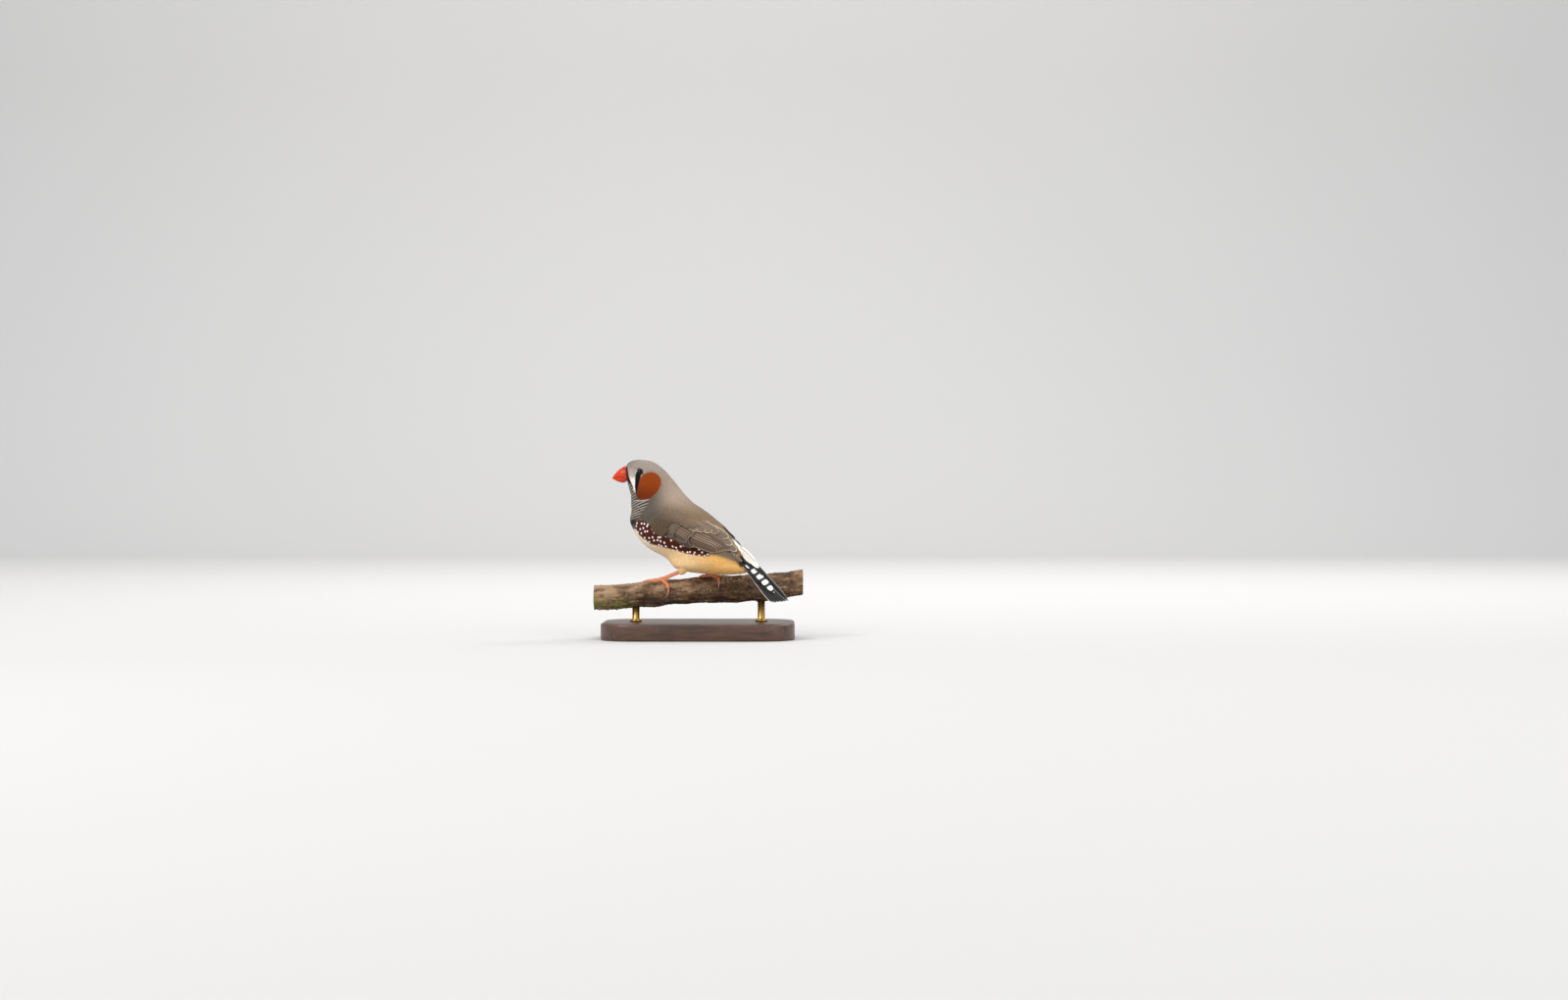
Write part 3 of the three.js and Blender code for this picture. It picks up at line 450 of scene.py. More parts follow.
sawn, tree, shader = finish("sawn_wood", 0.8)
place = node(tree, "TexCoord").outputs["Object"]
place = node(tree, "Mapping", {"Vector": place, "Location": (0, 0, -PERCH_HEIGHT * MM)}).outputs[0]
place = node(tree, "VectorMath", {0: place, 1: (0, 1, 1)}, operation="MULTIPLY").outputs[0]
away = node(tree, "VectorMath", {0: place}, operation="LENGTH").outputs["Value"]
growth = maths(tree, "SINE", maths(tree, "MULTIPLY", away, 2 * np.pi / (GROWTH_RING * MM)))
paint(tree, shader, mixed(tree, maths(tree, "MULTIPLY_ADD", growth, 0.25, 0.3), SAWN_PALE, SAWN_RING))
bump(tree, shader, noise(tree, 0.3, 3.0), 0.1)

rings, relief = perch_rings()
points, faces = closed_rings(rings)
bands = np.repeat(np.arange(len(rings) - 1), rings.shape[1])
on_cut = (bands < CUT_RINGS) | (bands > len(rings) - 2 - CUT_RINGS)
on_cut = np.concatenate([on_cut, np.ones(2 * rings.shape[1])])
relief = np.append(relief.ravel(), [0, 0])[:, None] * (1, 0, 0)
piece("branch", points, faces, [bark, sawn], "bark", ["perch"], on_cut, relief=relief)


# Rods. Two turned brass rods stand in the base, each with a small collar at its foot, and end in the branch.
ROD_RADIUS, COLLAR_RADIUS, COLLAR_HEIGHT = 1.75, 2.9, 1.3
RODS = {"left": -30.0, "right": 30.0}

brass, tree, shader = finish("satin_brass", 0.3, tint("c19a55"), Metallic=1.0)
brushed = noise(tree, 0.35, 3.0, (1.0, 1.0, 0.12))
paint(tree, shader, roughness=maths(tree, "MULTIPLY_ADD", brushed, 0.25, 0.2))
bump(tree, shader, brushed, 0.008)
for name, x in RODS.items():
    axis = perch_axis(np.array(x))
    profile = np.array([
        (COLLAR_RADIUS, 0.02), (COLLAR_RADIUS, COLLAR_HEIGHT - 0.4),
        (COLLAR_RADIUS - 0.12, COLLAR_HEIGHT - 0.12), (COLLAR_RADIUS - 0.4, COLLAR_HEIGHT),
        (ROD_RADIUS + 0.1, COLLAR_HEIGHT), (ROD_RADIUS, COLLAR_HEIGHT + 0.1),
        (ROD_RADIUS, axis[2] - PERCH_RADIUS * 0.8 - BASE_HEIGHT),
    ])  # radius, and height above the base
    turn = 2 * np.pi * np.arange(40) / 40
    ring = np.stack([np.cos(turn), np.sin(turn), 0 * turn], -1)
    rings = profile[:, :1, None] * ring + (profile[:, 1:, None] + BASE_HEIGHT) * (0, 0, 1) + (x, axis[1], 0)
    piece("rod_" + name, *closed_rings(rings), [brass], "stand_brass", ["stand_rod_" + name])


# Skin. It lies under the feathers of head, neck, body and thighs. The body is a closed row of flat sections
# fanned from the bill's base round to the tail's root, its head turned to the bird's left. Each thigh is a
# closed tube set into it.
BODY_YAW, HEAD_TURN = np.radians(23.0), np.radians(20.0)
BIRD_Y = -4.4
BACK = through([
    (-36.8, 60.3), (-33.7, 61.95), (-29.1, 62.3), (-23.6, 61.2), (-18.6, 57.6), (-14.0, 52.5), (-9.2, 46.8),
    (-3.9, 41.9), (2.0, 37.3), (7.5, 32.6), (12.6, 27.8), (17.2, 23.8), (21.6, 20.2), (25.2, 17.0),
    (28.0, 14.0), (30.2, 11.6),
])
BELLY = through([
    (-36.0, 51.8), (-35.8, 50.4), (-35.4, 48.8), (-34.9, 47.0), (-34.4, 44.8), (-34.4, 42.0), (-34.4, 38.2),
    (-33.4, 33.6), (-31.1, 28.8), (-27.1, 23.4), (-21.0, 18.6), (-12.7, 13.8), (-3.3, 9.9), (6.6, 8.0),
    (15.5, 7.6), (23.0, 8.0),
])
BREADTH = through([
    (3.7, 0.46), (5.5, 0.46), (6.7, 0.45), (7.3, 0.44), (7.6, 0.44), (8.0, 0.46), (9.2, 0.48), (10.6, 0.5),
    (11.5, 0.5), (11.9, 0.5), (11.6, 0.5), (10.8, 0.5), (9.4, 0.5), (7.4, 0.5), (5.6, 0.5), (3.6, 0.5),
])  # half width of each section, and the share of its height at which it is widest
SECTIONS = 15
SQUARENESS = 2.15
NECK_PIVOT = -22.0
TURN_START, TURN_END = 7.0, 4.4
COAT_DEPTH = through([0.1, 0.3, 0.45, 0.5, 0.6, 0.75, 0.95, 1.1, 1.2, 1.2, 1.2, 1.2, 1.2, 1.1, 0.9, 0.5])


def turned(points, share=1.0):
    """Points turned with the head about the neck's upright axis, by a share of the full turn."""
    angle = HEAD_TURN * np.asarray(share)
    x, y = points[..., 0] - NECK_PIVOT, points[..., 1]
    turned_x = NECK_PIVOT + x * np.cos(angle) - y * np.sin(angle)
    return np.stack([turned_x, x * np.sin(angle) + y * np.cos(angle), points[..., 2]], -1)


def body_straight(s, angle, grow=0.0):
    """Point of the body before the head is turned.

    The section's upper and lower halves are superellipses about a centre on the line from belly to back; the
    half width has shallow hollows before the eyes and fuller cheeks. grow moves the surface outwards.
    """
    s, angle, grow = np.broadcast_arrays(np.asarray(s, float), angle, grow)
    back, belly, breadth = BACK(s), BELLY(s), BREADTH(s)
    centre = belly + (back - belly) * breadth[..., 1:]
    rise = np.where((np.sin(angle) >= 0)[..., None], back, belly) - centre
    height = np.linalg.norm(rise, axis=-1)
    power = 2 / SQUARENESS
    across = np.sign(np.cos(angle)) * np.abs(np.cos(angle)) ** power
    along = np.abs(np.sin(angle)) ** power
    side = np.arctan2(np.sin(angle), np.abs(np.cos(angle)))
    cheek = 0.55 * bell(s, 3.6, 0.9) * bell(side, -0.35, 0.6)
    cheek = cheek - 0.5 * bell(s, 0.9, 0.5) * bell(side, 0.2, 0.6)
    middle = centre + rise * (along * (height + grow) / height)[..., None]
    return np.stack([middle[..., 0], across * (breadth[..., 0] + grow + cheek), middle[..., 1]], -1)


def body_point(s, angle, grow=0.0):
    """Point of the body with the head turned: the turn fades out down the neck."""
    straight = body_straight(s, angle, grow)
    share = 1 - smooth_step(np.broadcast_to(s, straight.shape[:-1]), TURN_END, TURN_START)
    return turned(straight, share)


def within(value, low, high, soft):
    """1 between low and high, with soft edges."""
    return smooth_step(value, low - soft, low + soft) * (1 - smooth_step(value, high - soft, high + soft))


WING_EDGE = (
    [6.0, 6.57, 7.0, 7.53, 8.17, 8.83, 9.5, 10.2, 11.0],
    [73, 62, 52, 43.5, 36, 29, 22.5, 15.7, 13.5],
)  # sections, and the turns in degrees from the middle of the back to the folded wing's upper edge
SWELLINGS = (
    # section, turn in degrees, height, and how far it spreads along and round: two hips, and the lower belly
    (11.65, -124.0, 3.6, 0.7, 0.48),
    (12.75, -30.0, 2.2, 0.7, 0.48),
    (12.3, -90.0, 1.3, 1.0, 0.6),
)


def mantled(s, angle, grow=0.0):
    """The body's outline with its mantle, hips, belly and brow.

    The mantle rises by 1.5 along the back and by 2.0 towards each wing's upper edge, whose turn from the
    middle is read by section. The hips and the belly are smooth swellings, and the brow is sunk by 0.75
    where the forehead meets the bill.
    """
    aside = np.abs(wrapped(angle - np.pi / 2))
    edge = np.radians(np.interp(s, *WING_EDGE))
    over_wing = 2.0 * within(s, 6.6, 10.2, 0.7) * smooth_step(aside, edge - 0.55, edge - 0.05)
    mantle = np.maximum(1.5 * bell(s, 10.2, 2.0) * smooth_step(np.sin(angle), 0.7, 1.0), over_wing)
    swelling = 0
    for place, turn, high, along, across in SWELLINGS:
        round_ = wrapped(angle - np.radians(turn))
        swelling = swelling + high * bell(s, place, along) * bell(round_, 0, across)
    brow = 0.75 * (1 - smooth_step(s, -0.1, 0.5)) * smooth_step(np.sin(angle), -0.3, 0.5)
    return body_point(s, angle, grow + mantle + swelling - brow)


def perched(points):
    """Points of the bird's frame placed in the world."""
    x = points[..., 0] * np.cos(BODY_YAW) + points[..., 1] * np.sin(BODY_YAW)
    y = -points[..., 0] * np.sin(BODY_YAW) + points[..., 1] * np.cos(BODY_YAW) + BIRD_Y
    return np.stack([x, y, points[..., 2] + PERCH_HEIGHT], -1)


def unperched(points):
    """Points of the world in the bird's frame."""
    x, y = points[..., 0], points[..., 1] - BIRD_Y
    back_x = x * np.cos(BODY_YAW) - y * np.sin(BODY_YAW)
    return np.stack([back_x, x * np.sin(BODY_YAW) + y * np.cos(BODY_YAW), points[..., 2] - PERCH_HEIGHT], -1)


# Feet's places on the branch, and the thighs that reach down towards them.
LEGS = {
    "left": {"foot": (-17.9, 0.33), "thigh": (-3.0, -6.6, 16.5), "cuff": (-6.9, -6.0, 8.9)},
    "right": {"foot": (6.7, 0.26), "thigh": (8.5, 5.6, 15.0), "cuff": (8.2, 5.6, 9.6)},
}
FOOT_RISE = 1.05
THIGH_RADII = through([2.2, 2.6, 2.5, 1.8, 1.12])
THIGH_DEPTH = 0.45


def unit(vectors):
    """Vectors made one long."""
    return vectors / np.linalg.norm(vectors, axis=-1, keepdims=True)


def square_to(ahead, reference):
    """Two directions square to the ones ahead: one level, and the reference's part square to those ahead."""
    ahead = unit(ahead)
    level = unit(np.cross(np.broadcast_to(reference, ahead.shape), ahead))
    return level, np.cross(ahead, level)


def thigh_path(leg):
    """Middle line of a thigh, from inside the belly to the cuff, which faces down the leg."""
    foot = unperched(perch_point(*np.array(leg["foot"]), FOOT_RISE))
    thigh, cuff = np.array(leg["thigh"]), np.array(leg["cuff"])
    axis = unit(foot - cuff)
    return through([thigh, thigh + 0.55 * (cuff - thigh) - 1.2 * axis, cuff - 1.2 * axis, cuff])


def thigh_surface(leg):
    """The feathered thigh's outer surface, from share 0 inside the belly to 1 at the cuff.

    A point is the path's, plus the radius along the two directions square to the path.
    """
    path = thigh_path(leg)

    def surface(share, angle, grow=0.0):
        share, angle, grow = np.broadcast_arrays(np.clip(share, 0, 1), angle, grow)
        ahead = path(np.minimum(share + 0.01, 1) * 3) - path(np.maximum(share - 0.01, 0) * 3)
        level, above = square_to(ahead, (0.0, 0.0, 1.0))
        across = np.cos(angle)[..., None] * level + np.sin(angle)[..., None] * above
        return path(share * 3) + (THIGH_RADII(4 * share)[..., 0] + grow)[..., None] * across

    return surface


# Plumage. Every colour on the bird's body is worked out here from a place on the straight bird, so that the
# skin and the feathers over it carry the same markings. Both sides are alike.
CROWN, NAPE, MANTLE, RUMP_SIDE = tint("a99b90"), tint("a69382"), tint("7a644b"), tint("766249")
NECK_SIDE_SHADED, THROAT_DARK, THROAT_PALE = tint("585047"), tint("2e2824"), tint("a3988e")
CHEEK, CHEEK_LOW_SHADED, TEAR = tint("8a3a01"), tint("6c2600"), tint("090605")
LORE_WHITE, LORE_GREY = tint("f2e9e1"), tint("b5aaa3")
FLANK, SPOT = tint("4b1809"), tint("f4eee8")
BELLY_FRONT, BELLY_MID, VENT, THIGH_BUFF = tint("eedcbe"), tint("ecc793"), tint("eab76c"), tint("f0c488")
RUMP_WHITE, RUMP_BLACK = tint("efe9dd"), tint("15110f")
THROAT_BAR, SPOT_CELL = 1.2, 2.25  # how far apart the throat's bars and the flank's spots stand
# lines between markings, each as places and what it is there: heights by x, x by height, and widths
FLANK_LOW = ([-27, -26, -19.6, -12.6, -6.3, 1.2, 9, 13], [29.5, 27.1, 22.8, 21.0, 19.1, 17.2, 16.5, 17.5])
BARS_BACK = (
    [30, 36, 40, 43.2, 43.9, 46.5, 50, 51.5],
    [-26.2, -24.6, -23.4, -23.0, -31.4, -32.0, -33.6, -35.0],
)
BILL_LINE = ([46, 49.1, 50.8, 54.5, 59.2], [-32.2, -33.1, -34.1, -35.6, -36.25])
TEAR_FORE = ([46.4, 49.4, 54.5, 57], [-31.5, -31.9, -31.7, -31.0])
BILL_LINE_HALF = ([48.6, 49.6, 51.5, 54.5, 59], [0.1, 0.5, 0.6, 0.5, 0.35])
RUMP_WHITE_HALF = ([10.6, 12.0, 13.2], [0.5, 2.4, 3.2])


def short_of(value, line, soft):
    """1 below a line and 0 above it, with a soft edge."""
    return 1 - smooth_step(value, line - soft, line + soft)


def plumage(s, angle):
    """Ground colour, and the weights of throat bars, flank spots and head scallops, at places of the body.

    Each marking's share is a product of soft steps in the side view's x and z, the distance out to the side
    and the section, and each is laid over the ones before it.
    """
    x, y, z = np.moveaxis(body_straight(s, angle), -1, 0)
    out = np.abs(y)
    upper = np.sin(angle)
    colour = CROWN + (NAPE - CROWN) * smooth_step(s, 3.0, 5.2)[..., None]

    def lay(tone, share):
        """Mixes a tone into the colour by a share."""
        nonlocal colour
        colour = colour + (tone - colour) * np.clip(share, 0, 1)[..., None]

    lay(CROWN * 0.6, 0.6 * (1 - smooth_step(s, 0.8, 2.4)) * smooth_step(upper, 0.3, 0.9))
    lay(MANTLE, smooth_step(s, 5.5, 8.5))
    # sides and underside of the neck: their own grey, darkened further as painted shade
    lay(NECK_SIDE_SHADED, smooth_step(-upper, -0.85, 0.05) * within(s, 3.6, 8.5, 1.0))
    # belly, from pale below the breast to buff under the tail
    flank_low = np.interp(x, *FLANK_LOW)
    low = short_of(z, flank_low, 0.5) * smooth_step(s, 7.4, 7.7)
    low = np.maximum(low, (1 - smooth_step(upper, 0.1, 0.5)) * smooth_step(x, 9.6, 10.6))
    belly = BELLY_FRONT + (BELLY_MID - BELLY_FRONT) * smooth_step(x, -24, -6)[..., None]
    belly = belly + (VENT - belly) * smooth_step(x, -2, 14)[..., None]
    lay(belly, low)
    # flanks under the wing's lower edge
    flank = (1 - low) * within(z, 10, 34, 0.8) * within(x, -27.2, 10.5, 0.5) * smooth_step(out, 3, 5)
    flank *= smooth_step(s, 7.3, 7.6) * (1 - smooth_step(z, flank_low + 8, flank_low + 10))
    lay(FLANK, flank)
    # throat and breast, finely barred down to a black band
    bars = short_of(x, np.interp(z, *BARS_BACK), 0.9) * (1 - smooth_step(s, 6.9, 7.3))
    bars = bars * (1 - smooth_step(z, 50.5, 51.8))
    band = within(s, 7.05, 7.6, 0.12) * (1 - smooth_step(upper, -0.75, -0.45))
    lay(TEAR, band)
    # first two bars, a dark line and a white one right under the cheek
    under_cheek = within(x, -32.6, -23.6, 0.3) * smooth_step(out, 1.5, 2.5)
    sagged = z - 0.05 * (x + 27) ** 2 * (x > -27)
    lay(THROAT_DARK, within(sagged, 43.1, 43.7, 0.1) * under_cheek)
    lay(LORE_WHITE, 0.65 * within(sagged, 42.6, 43.0, 0.12) * under_cheek)
    bars = bars * (1 - within(sagged, 42.3, 43.8, 0.1) * under_cheek)
    # cheek patch, a tilted oval and a smaller round one before and below it, painted darker towards its
    # bottom as painted shade
    dx, dz = x + 24.9, z - 49.9
    patch = np.hypot((0.38 * dx + 0.925 * dz) / 6.8, (0.925 * dx - 0.38 * dz) / 5.6)
    patch = np.minimum(patch, np.hypot((x + 28.4) / 3.0, (z - 46.3) / 2.7))
    fore = -28.9 - 0.25 * (54.8 - z)
    patch = (1 - smooth_step(patch, 0.95, 1.03)) * smooth_step(x, fore - 0.2, fore + 0.2) * (s < 7)
    patch *= smooth_step(out, 1, 2)
    lay(CHEEK + (CHEEK_LOW_SHADED - CHEEK) * smooth_step(-z, -52, -44)[..., None], patch)
    # white stripe behind the bill, the black tear mark under the eye, and a black line down the bill's base
    bill_line = np.interp(z, *BILL_LINE)
    tear_fore = np.interp(z, *TEAR_FORE)
    stripe = within(x, bill_line, tear_fore + 0.2, 0.12) * within(z, 46.9, 58.0, 0.5)
    lay(LORE_GREY, stripe)
    lay(LORE_WHITE, stripe * (1 - smooth_step(z, 52.3, 54.9)))
    lay(TEAR, within(x, tear_fore, fore, 0.1) * within(z, 46.2, 56.6, 0.3))
    bill_line = bill_line + np.interp(z, *BILL_LINE_HALF)
    lay(TEAR, short_of(x, bill_line, 0.12) * within(z, 48.6, 59.2, 0.3))
    # rump, white along the middle between black sides
    lay(RUMP_SIDE, smooth_step(s, 9.5, 11.5) * smooth_step(upper, 0.1, 0.5) * 0.5)
    lowered = 0.35 * (1 - smooth_step(s, 13.2, 14.4))
    lay(RUMP_BLACK, smooth_step(s, 12.5, 13.1) * smooth_step(upper - lowered, 0.1, 0.3))
    white = short_of(out, np.interp(s, *RUMP_WHITE_HALF), 0.3)
    lay(RUMP_WHITE, smooth_step(s, 10.7, 11.3) * (upper > 0) * white)
    scallops = smooth_step(upper, -0.2, 0.4) * (1 - smooth_step(s, 4.0, 7.0)) * (1 - patch)
    return colour, bars * (1 - patch), flank, scallops


def run_along(points):
    """Distance of each point from the first, step by step along a row."""
    return np.append(0, np.cumsum(np.linalg.norm(np.diff(points, axis=0), axis=1)))


FRONT_STEPS = np.linspace(0, SECTIONS, 301)
FRONT_RUN = run_along(BELLY(FRONT_STEPS))


def lie_of(s, angle):
    """Where the patterns are read: millimetres down the throat, and the side view's x and z."""
    x, _, z = np.moveaxis(body_straight(s, angle), -1, 0)
    return np.stack([np.interp(s, FRONT_STEPS, FRONT_RUN), x, z], -1)


def given_colour(tree, name):
    """A colour that the mesh carries."""
    return node(tree, "Attribute", attribute_name=name).outputs["Color"]


def toned(tree, colour, tone):
    """A colour times one number."""
    grey = node(tree, "CombineColor", {0: tone, 1: tone, 2: tone}).outputs[0]
    return mixed(tree, 1.0, colour, grey, "MULTIPLY")


def plumage_material(name):
    """Feathers that take their ground colour, bars and spots from the attributes of the mesh.

    Bars are a sine of the distance down the throat, and spots are the middles of uneven cells on the flank.
    Each feather has fine slanting barbs, and on the crown a dark crescent inside a pale tip.
    """
    sheen = {"Sheen_Weight": 0.06, "Sheen_Roughness": 0.5, "Specular_IOR_Level": 0.15}
    material, tree, shader = finish(name, 0.8, **sheen)
    barred, spotted, scalloped = given(tree, "marks")
    down_throat, x, z = given(tree, "lie")
    across, along, _ = given(tree, "vane")
    phase = maths(tree, "MULTIPLY_ADD", noise(tree, 1.6, 2.0), 0.9, down_throat)
    phase = maths(tree, "MULTIPLY", phase, 2 * np.pi / THROAT_BAR)
    bars = maths(tree, "MULTIPLY_ADD", maths(tree, "SINE", phase), 1.3, 0.3, clamp=True)
    bars = mixed(tree, bars, THROAT_DARK, THROAT_PALE)
    side = node(tree, "CombineXYZ", {0: x, 1: z}).outputs[0]
    inputs = {"Vector": side, "Scale": 1 / SPOT_CELL, "Randomness": 0.75}
    cells = node(tree, "TexVoronoi", inputs, voronoi_dimensions="2D").outputs["Distance"]
    cells = maths(tree, "MULTIPLY_ADD", noise(tree, 0.7, 2.0), 0.16, cells)
    spots = maths(tree, "MULTIPLY", spotted, ramp(tree, cells, (0.25, WHITE), (0.33, BLACK)))
    ground = mixed(tree, barred, given_colour(tree, "plumage_colour"), bars)
    ground = mixed(tree, spots, ground, SPOT)
    slant = maths(tree, "MULTIPLY", maths(tree, "ABSOLUTE", across), -1.6)
    slant = maths(tree, "MULTIPLY_ADD", along, 5.0, slant)
    barbs = maths(tree, "SINE", maths(tree, "MULTIPLY", slant, 2 * np.pi * 1.8))
    crescent = ramp(tree, along, (0.5, BLACK), (0.74, WHITE), (0.82, WHITE), (0.9, BLACK))
    crescent = maths(tree, "MULTIPLY", maths(tree, "MULTIPLY", crescent, scalloped), -0.42)
    tone = maths(tree, "MULTIPLY_ADD", noise(tree, 0.5, 3.0), 0.3, 0.83)
    tone = maths(tree, "ADD", maths(tree, "MULTIPLY_ADD", barbs, 0.02, tone), crescent)
    paint(tree, shader, toned(tree, ground, tone))
    bump(tree, shader, barbs, 0.005)
    return material


def skin_mesh(rows=260, around=170):
    """Rings of the body's skin, the coat's depth inside its outline, and each point's section and turn."""
    s = np.linspace(0, SECTIONS, rows)[:, None]
    angle = 2 * np.pi * np.arange(around)[None, :] / around
    return s + 0 * angle, angle + 0 * s, mantled(s, angle, -COAT_DEPTH(s)[..., 0] + 0 * angle)


def joined(parts):
    """Several meshes as one: each part is its points, its faces, and rows of values for its points."""
    starts = np.cumsum([0] + [len(part[0]) for part in parts[:-1]])
    faces = [corners + start for part, start in zip(parts, starts) for corners in part[1]]
    points, _, *values = zip(*parts)
    return np.vstack(points), faces, *map(np.vstack, values)


down = plumage_material("down_and_feather")
s, angle, rings = skin_mesh()
points, faces = closed_rings(perched(rings))
s, angle = np.append(s.ravel(), [0, SECTIONS]), np.append(angle.ravel(), [0, 0])
colour, *marks = plumage(s, angle)
parts = [(points, faces, colour, np.stack(marks, -1), lie_of(s, angle))]
for leg in LEGS.values():
    share = np.linspace(0, 1, 30)[:, None]
    turn = 2 * np.pi * np.arange(36)[None, :] / 36
    points, faces = closed_rings(perched(thigh_surface(leg)(share, turn, -THIGH_DEPTH)))
    plain = np.zeros((len(points), 3))
    parts.append((points, faces, plain + THIGH_BUFF, plain, plain))
points, faces, colour, marks, lie = joined(parts)
bare = ["head", "neck", "torso", "thigh_left", "thigh_right"]
piece("skin", points, faces, [down], "grey_plumage", bare, plumage_colour=colour, marks=marks, lie=lie)


# Bill. Two horny halves, glossy red-orange, that part along a line which drops near the corner of the mouth.
# Each is sunk a little into the head, and the upper has an oval nostril pit high on each side of its base.
CULMEN = through([(-37.05, 59.4), (-39.05, 58.5), (-40.95, 57.0), (-42.55, 55.2), (-43.7, 53.4)])
GONYS = through([(-36.35, 51.9), (-38.2, 51.3), (-40.2, 51.6), (-42.0, 52.4), (-43.3, 53.1)])
MOUTH = through([(-36.45, 52.9), (-38.4, 54.0), (-40.4, 54.1), (-42.2, 53.7), (-43.5, 53.25)])
BILL_HALF = through([3.6, 3.15, 2.35, 1.35, 0.3])
NOSTRIL_ALONG, NOSTRIL_ANGLE = 0.42, 0.92
BILL_RED, BILL_DEEP, BILL_TIP, BILL_HOLLOW_SHADE = tint("d23305"), tint("a02402"), tint("e4602a"), tint("5c1404")


def mandible(ridge, overhang, lift, rows=70, around=60, flat=14):
    """Rings of one half of the bill, and their colours.

    From the mouth's line to the ridge the height goes as the sine of the angle to the power 0.85, and the
    half width as its cosine; a flat face closes each ring at the mouth. The nostril is pressed in towards
    the middle. A ring inside the head and a small one at the tip are added at the ends.
    """
    s = 4 * np.linspace(0, 1, rows)[:, None] ** 0.85
    angle = np.concatenate([np.pi * np.arange(around) / (around - 1), np.full(flat, np.pi)])
    cosine = np.concatenate([np.cos(angle[:around]), np.linspace(-1, 1, flat + 2)[1:-1]])
    height = np.concatenate([np.abs(np.sin(angle[:around])) ** 0.85, np.zeros(flat)])
    edge = MOUTH(s) + (0, lift)
    middle = edge + (ridge(s) - edge) * height[None, :, None]
    rings = np.stack([middle[..., 0], BILL_HALF(s)[..., 0] * overhang * cosine, middle[..., 1]], -1)
    aside = np.abs(wrapped(angle - np.pi / 2))
    pit = bell(s, NOSTRIL_ALONG, 0.2) * bell(aside, np.pi / 2 - NOSTRIL_ANGLE, 0.15)
    pit = pit * (height > 0.1) * (lift > 0)
    core = np.stack([edge[..., 0] + 0 * cosine, 0 * middle[..., 0], edge[..., 1] + 1.5 + 0 * cosine], -1)
    rings = rings + 0.3 * pit[..., None] * unit(core - rings)
    colour = BILL_RED + (BILL_DEEP - BILL_RED) * bell(s, 0, 0.7)[..., None] * 0.6 + 0 * rings
    colour = colour + (BILL_TIP - colour) * (smooth_step(s, 2.6, 4.0) * 0.5)[..., None]
    colour = colour + (BILL_TIP - colour) * (0.35 * (1 - smooth_step(height, 0.0, 0.25)))[None, :, None]
    # the nostril pit and the flat faces where the two halves meet are painted dark: painted shade inside the
    # nostril and in the gap of the mouth
    colour = colour + (BILL_HOLLOW_SHADE - colour) * smooth_step(pit, 0.25, 0.6)[..., None]
    colour = colour + (BILL_HOLLOW_SHADE - colour) * (1 - smooth_step(height, 0.0, 0.12))[None, :, None] * 0.8
    first, last = rings[:1], rings[-1:]
    root = (first - first.mean(1, keepdims=True)) * 0.9 + first.mean(1, keepdims=True) + (1.5, 0, 0)
    tip = (last - last.mean(1, keepdims=True)) * 0.45 + last.mean(1, keepdims=True) + (-0.09, 0, -0.07)
    colours = np.concatenate([colour[:1], colour, colour[-1:]])
    return turned(np.concatenate([root, rings, tip])), colours


def capped(rings, colours):
    """Closed rings, and their colours with those of their two middle points."""
    points, faces = closed_rings(rings)
    return points, faces, np.vstack([colours.reshape(-1, 3), colours[0, :1], colours[-1, :1]])


def horny(tree, shader, attribute, grain, dark, rough, depth):
    """Finish of horn or scales: the mesh's colour times a tint that follows the grain, and its relief.

    The roughness is the grain times the first of two numbers plus the second.
    """
    shade = ramp(tree, grain, (0.3, dark), (0.7, WHITE))
    colour = mixed(tree, 1.0, given_colour(tree, attribute), shade, "MULTIPLY")
    paint(tree, shader, colour, maths(tree, "MULTIPLY_ADD", grain, *rough))
    bump(tree, shader, grain, depth)


horn, tree, shader = finish(
    "bill_horn", 0.36, Specular_IOR_Level=0.3, Subsurface_Weight=0.1, Subsurface_Scale=0.001
)
streaks = noise(tree, 0.45, 3.0, (3.0, 1.0, 3.0))
horny(tree, shader, "horn_colour", streaks, (0.82, 0.8, 0.8), (0.25, 0.2), 0.03)
for name, ridge, overhang, lift in (("upper", CULMEN, 1.0, 0.02), ("lower", GONYS, 0.95, -0.02)):
    rings, colours = mandible(ridge, overhang, lift)
    points, faces, tones = capped(perched(rings), colours)
    piece("bill_half_" + name, points, faces, [horn], "bill_horn", ["bill_" + name], horn_colour=tones)


# Eyes. Dark balls with a wet bulging front, deep in the head: black pupil, dark red-brown iris. A thin ring
# of bare beaded lid lies round each.
SIDES = {"left": -1, "right": 1}
EYE_PLACE, EYE_RADIUS = np.array([-29.3, 4.6, 56.0]), 2.35
EYE_OUTWARD = (0.22, 1, 0.1)  # forwards, out to the side, and up
LID_RING, LID_THICK, LID_OUT, LID_BEADS = 1.78, 0.36, 1.5, 30
IRIS, IRIS_RIM, PUPIL, LID_SKIN = tint("220a05"), tint("0a0403"), tint("020202"), tint("51473f")


def eye_frame(side):
    """Middle of an eye, and three directions: outwards, level and upwards across the lids."""
    ahead, out, up = EYE_OUTWARD
    outward = np.array([-ahead, side * out, up]) / np.linalg.norm(EYE_OUTWARD)
    outward = turned(outward + (NECK_PIVOT, 0, 0)) - (NECK_PIVOT, 0, 0)
    level = unit(np.cross((0, 0, 1), outward))
    return turned(EYE_PLACE * (1, side, 1)), outward, level, np.cross(outward, level)


def eye_rings(side, rows=60, around=64):
    """Rings of a ball about the outward axis, 0.1 larger over the front, and each point's two angles."""
    middle, outward, level, above = eye_frame(side)
    tilt = np.linspace(0.015, np.pi - 0.02, rows)[:, None, None]
    turn = (2 * np.pi * np.arange(around) / around)[None, :, None]
    radius = EYE_RADIUS + 0.1 * bell(tilt, 0, 0.45)
    across = np.cos(turn) * level + np.sin(turn) * above
    rings = middle + radius * (np.cos(tilt) * outward + np.sin(tilt) * across)
    return rings, tilt + 0 * turn, turn + 0 * tilt


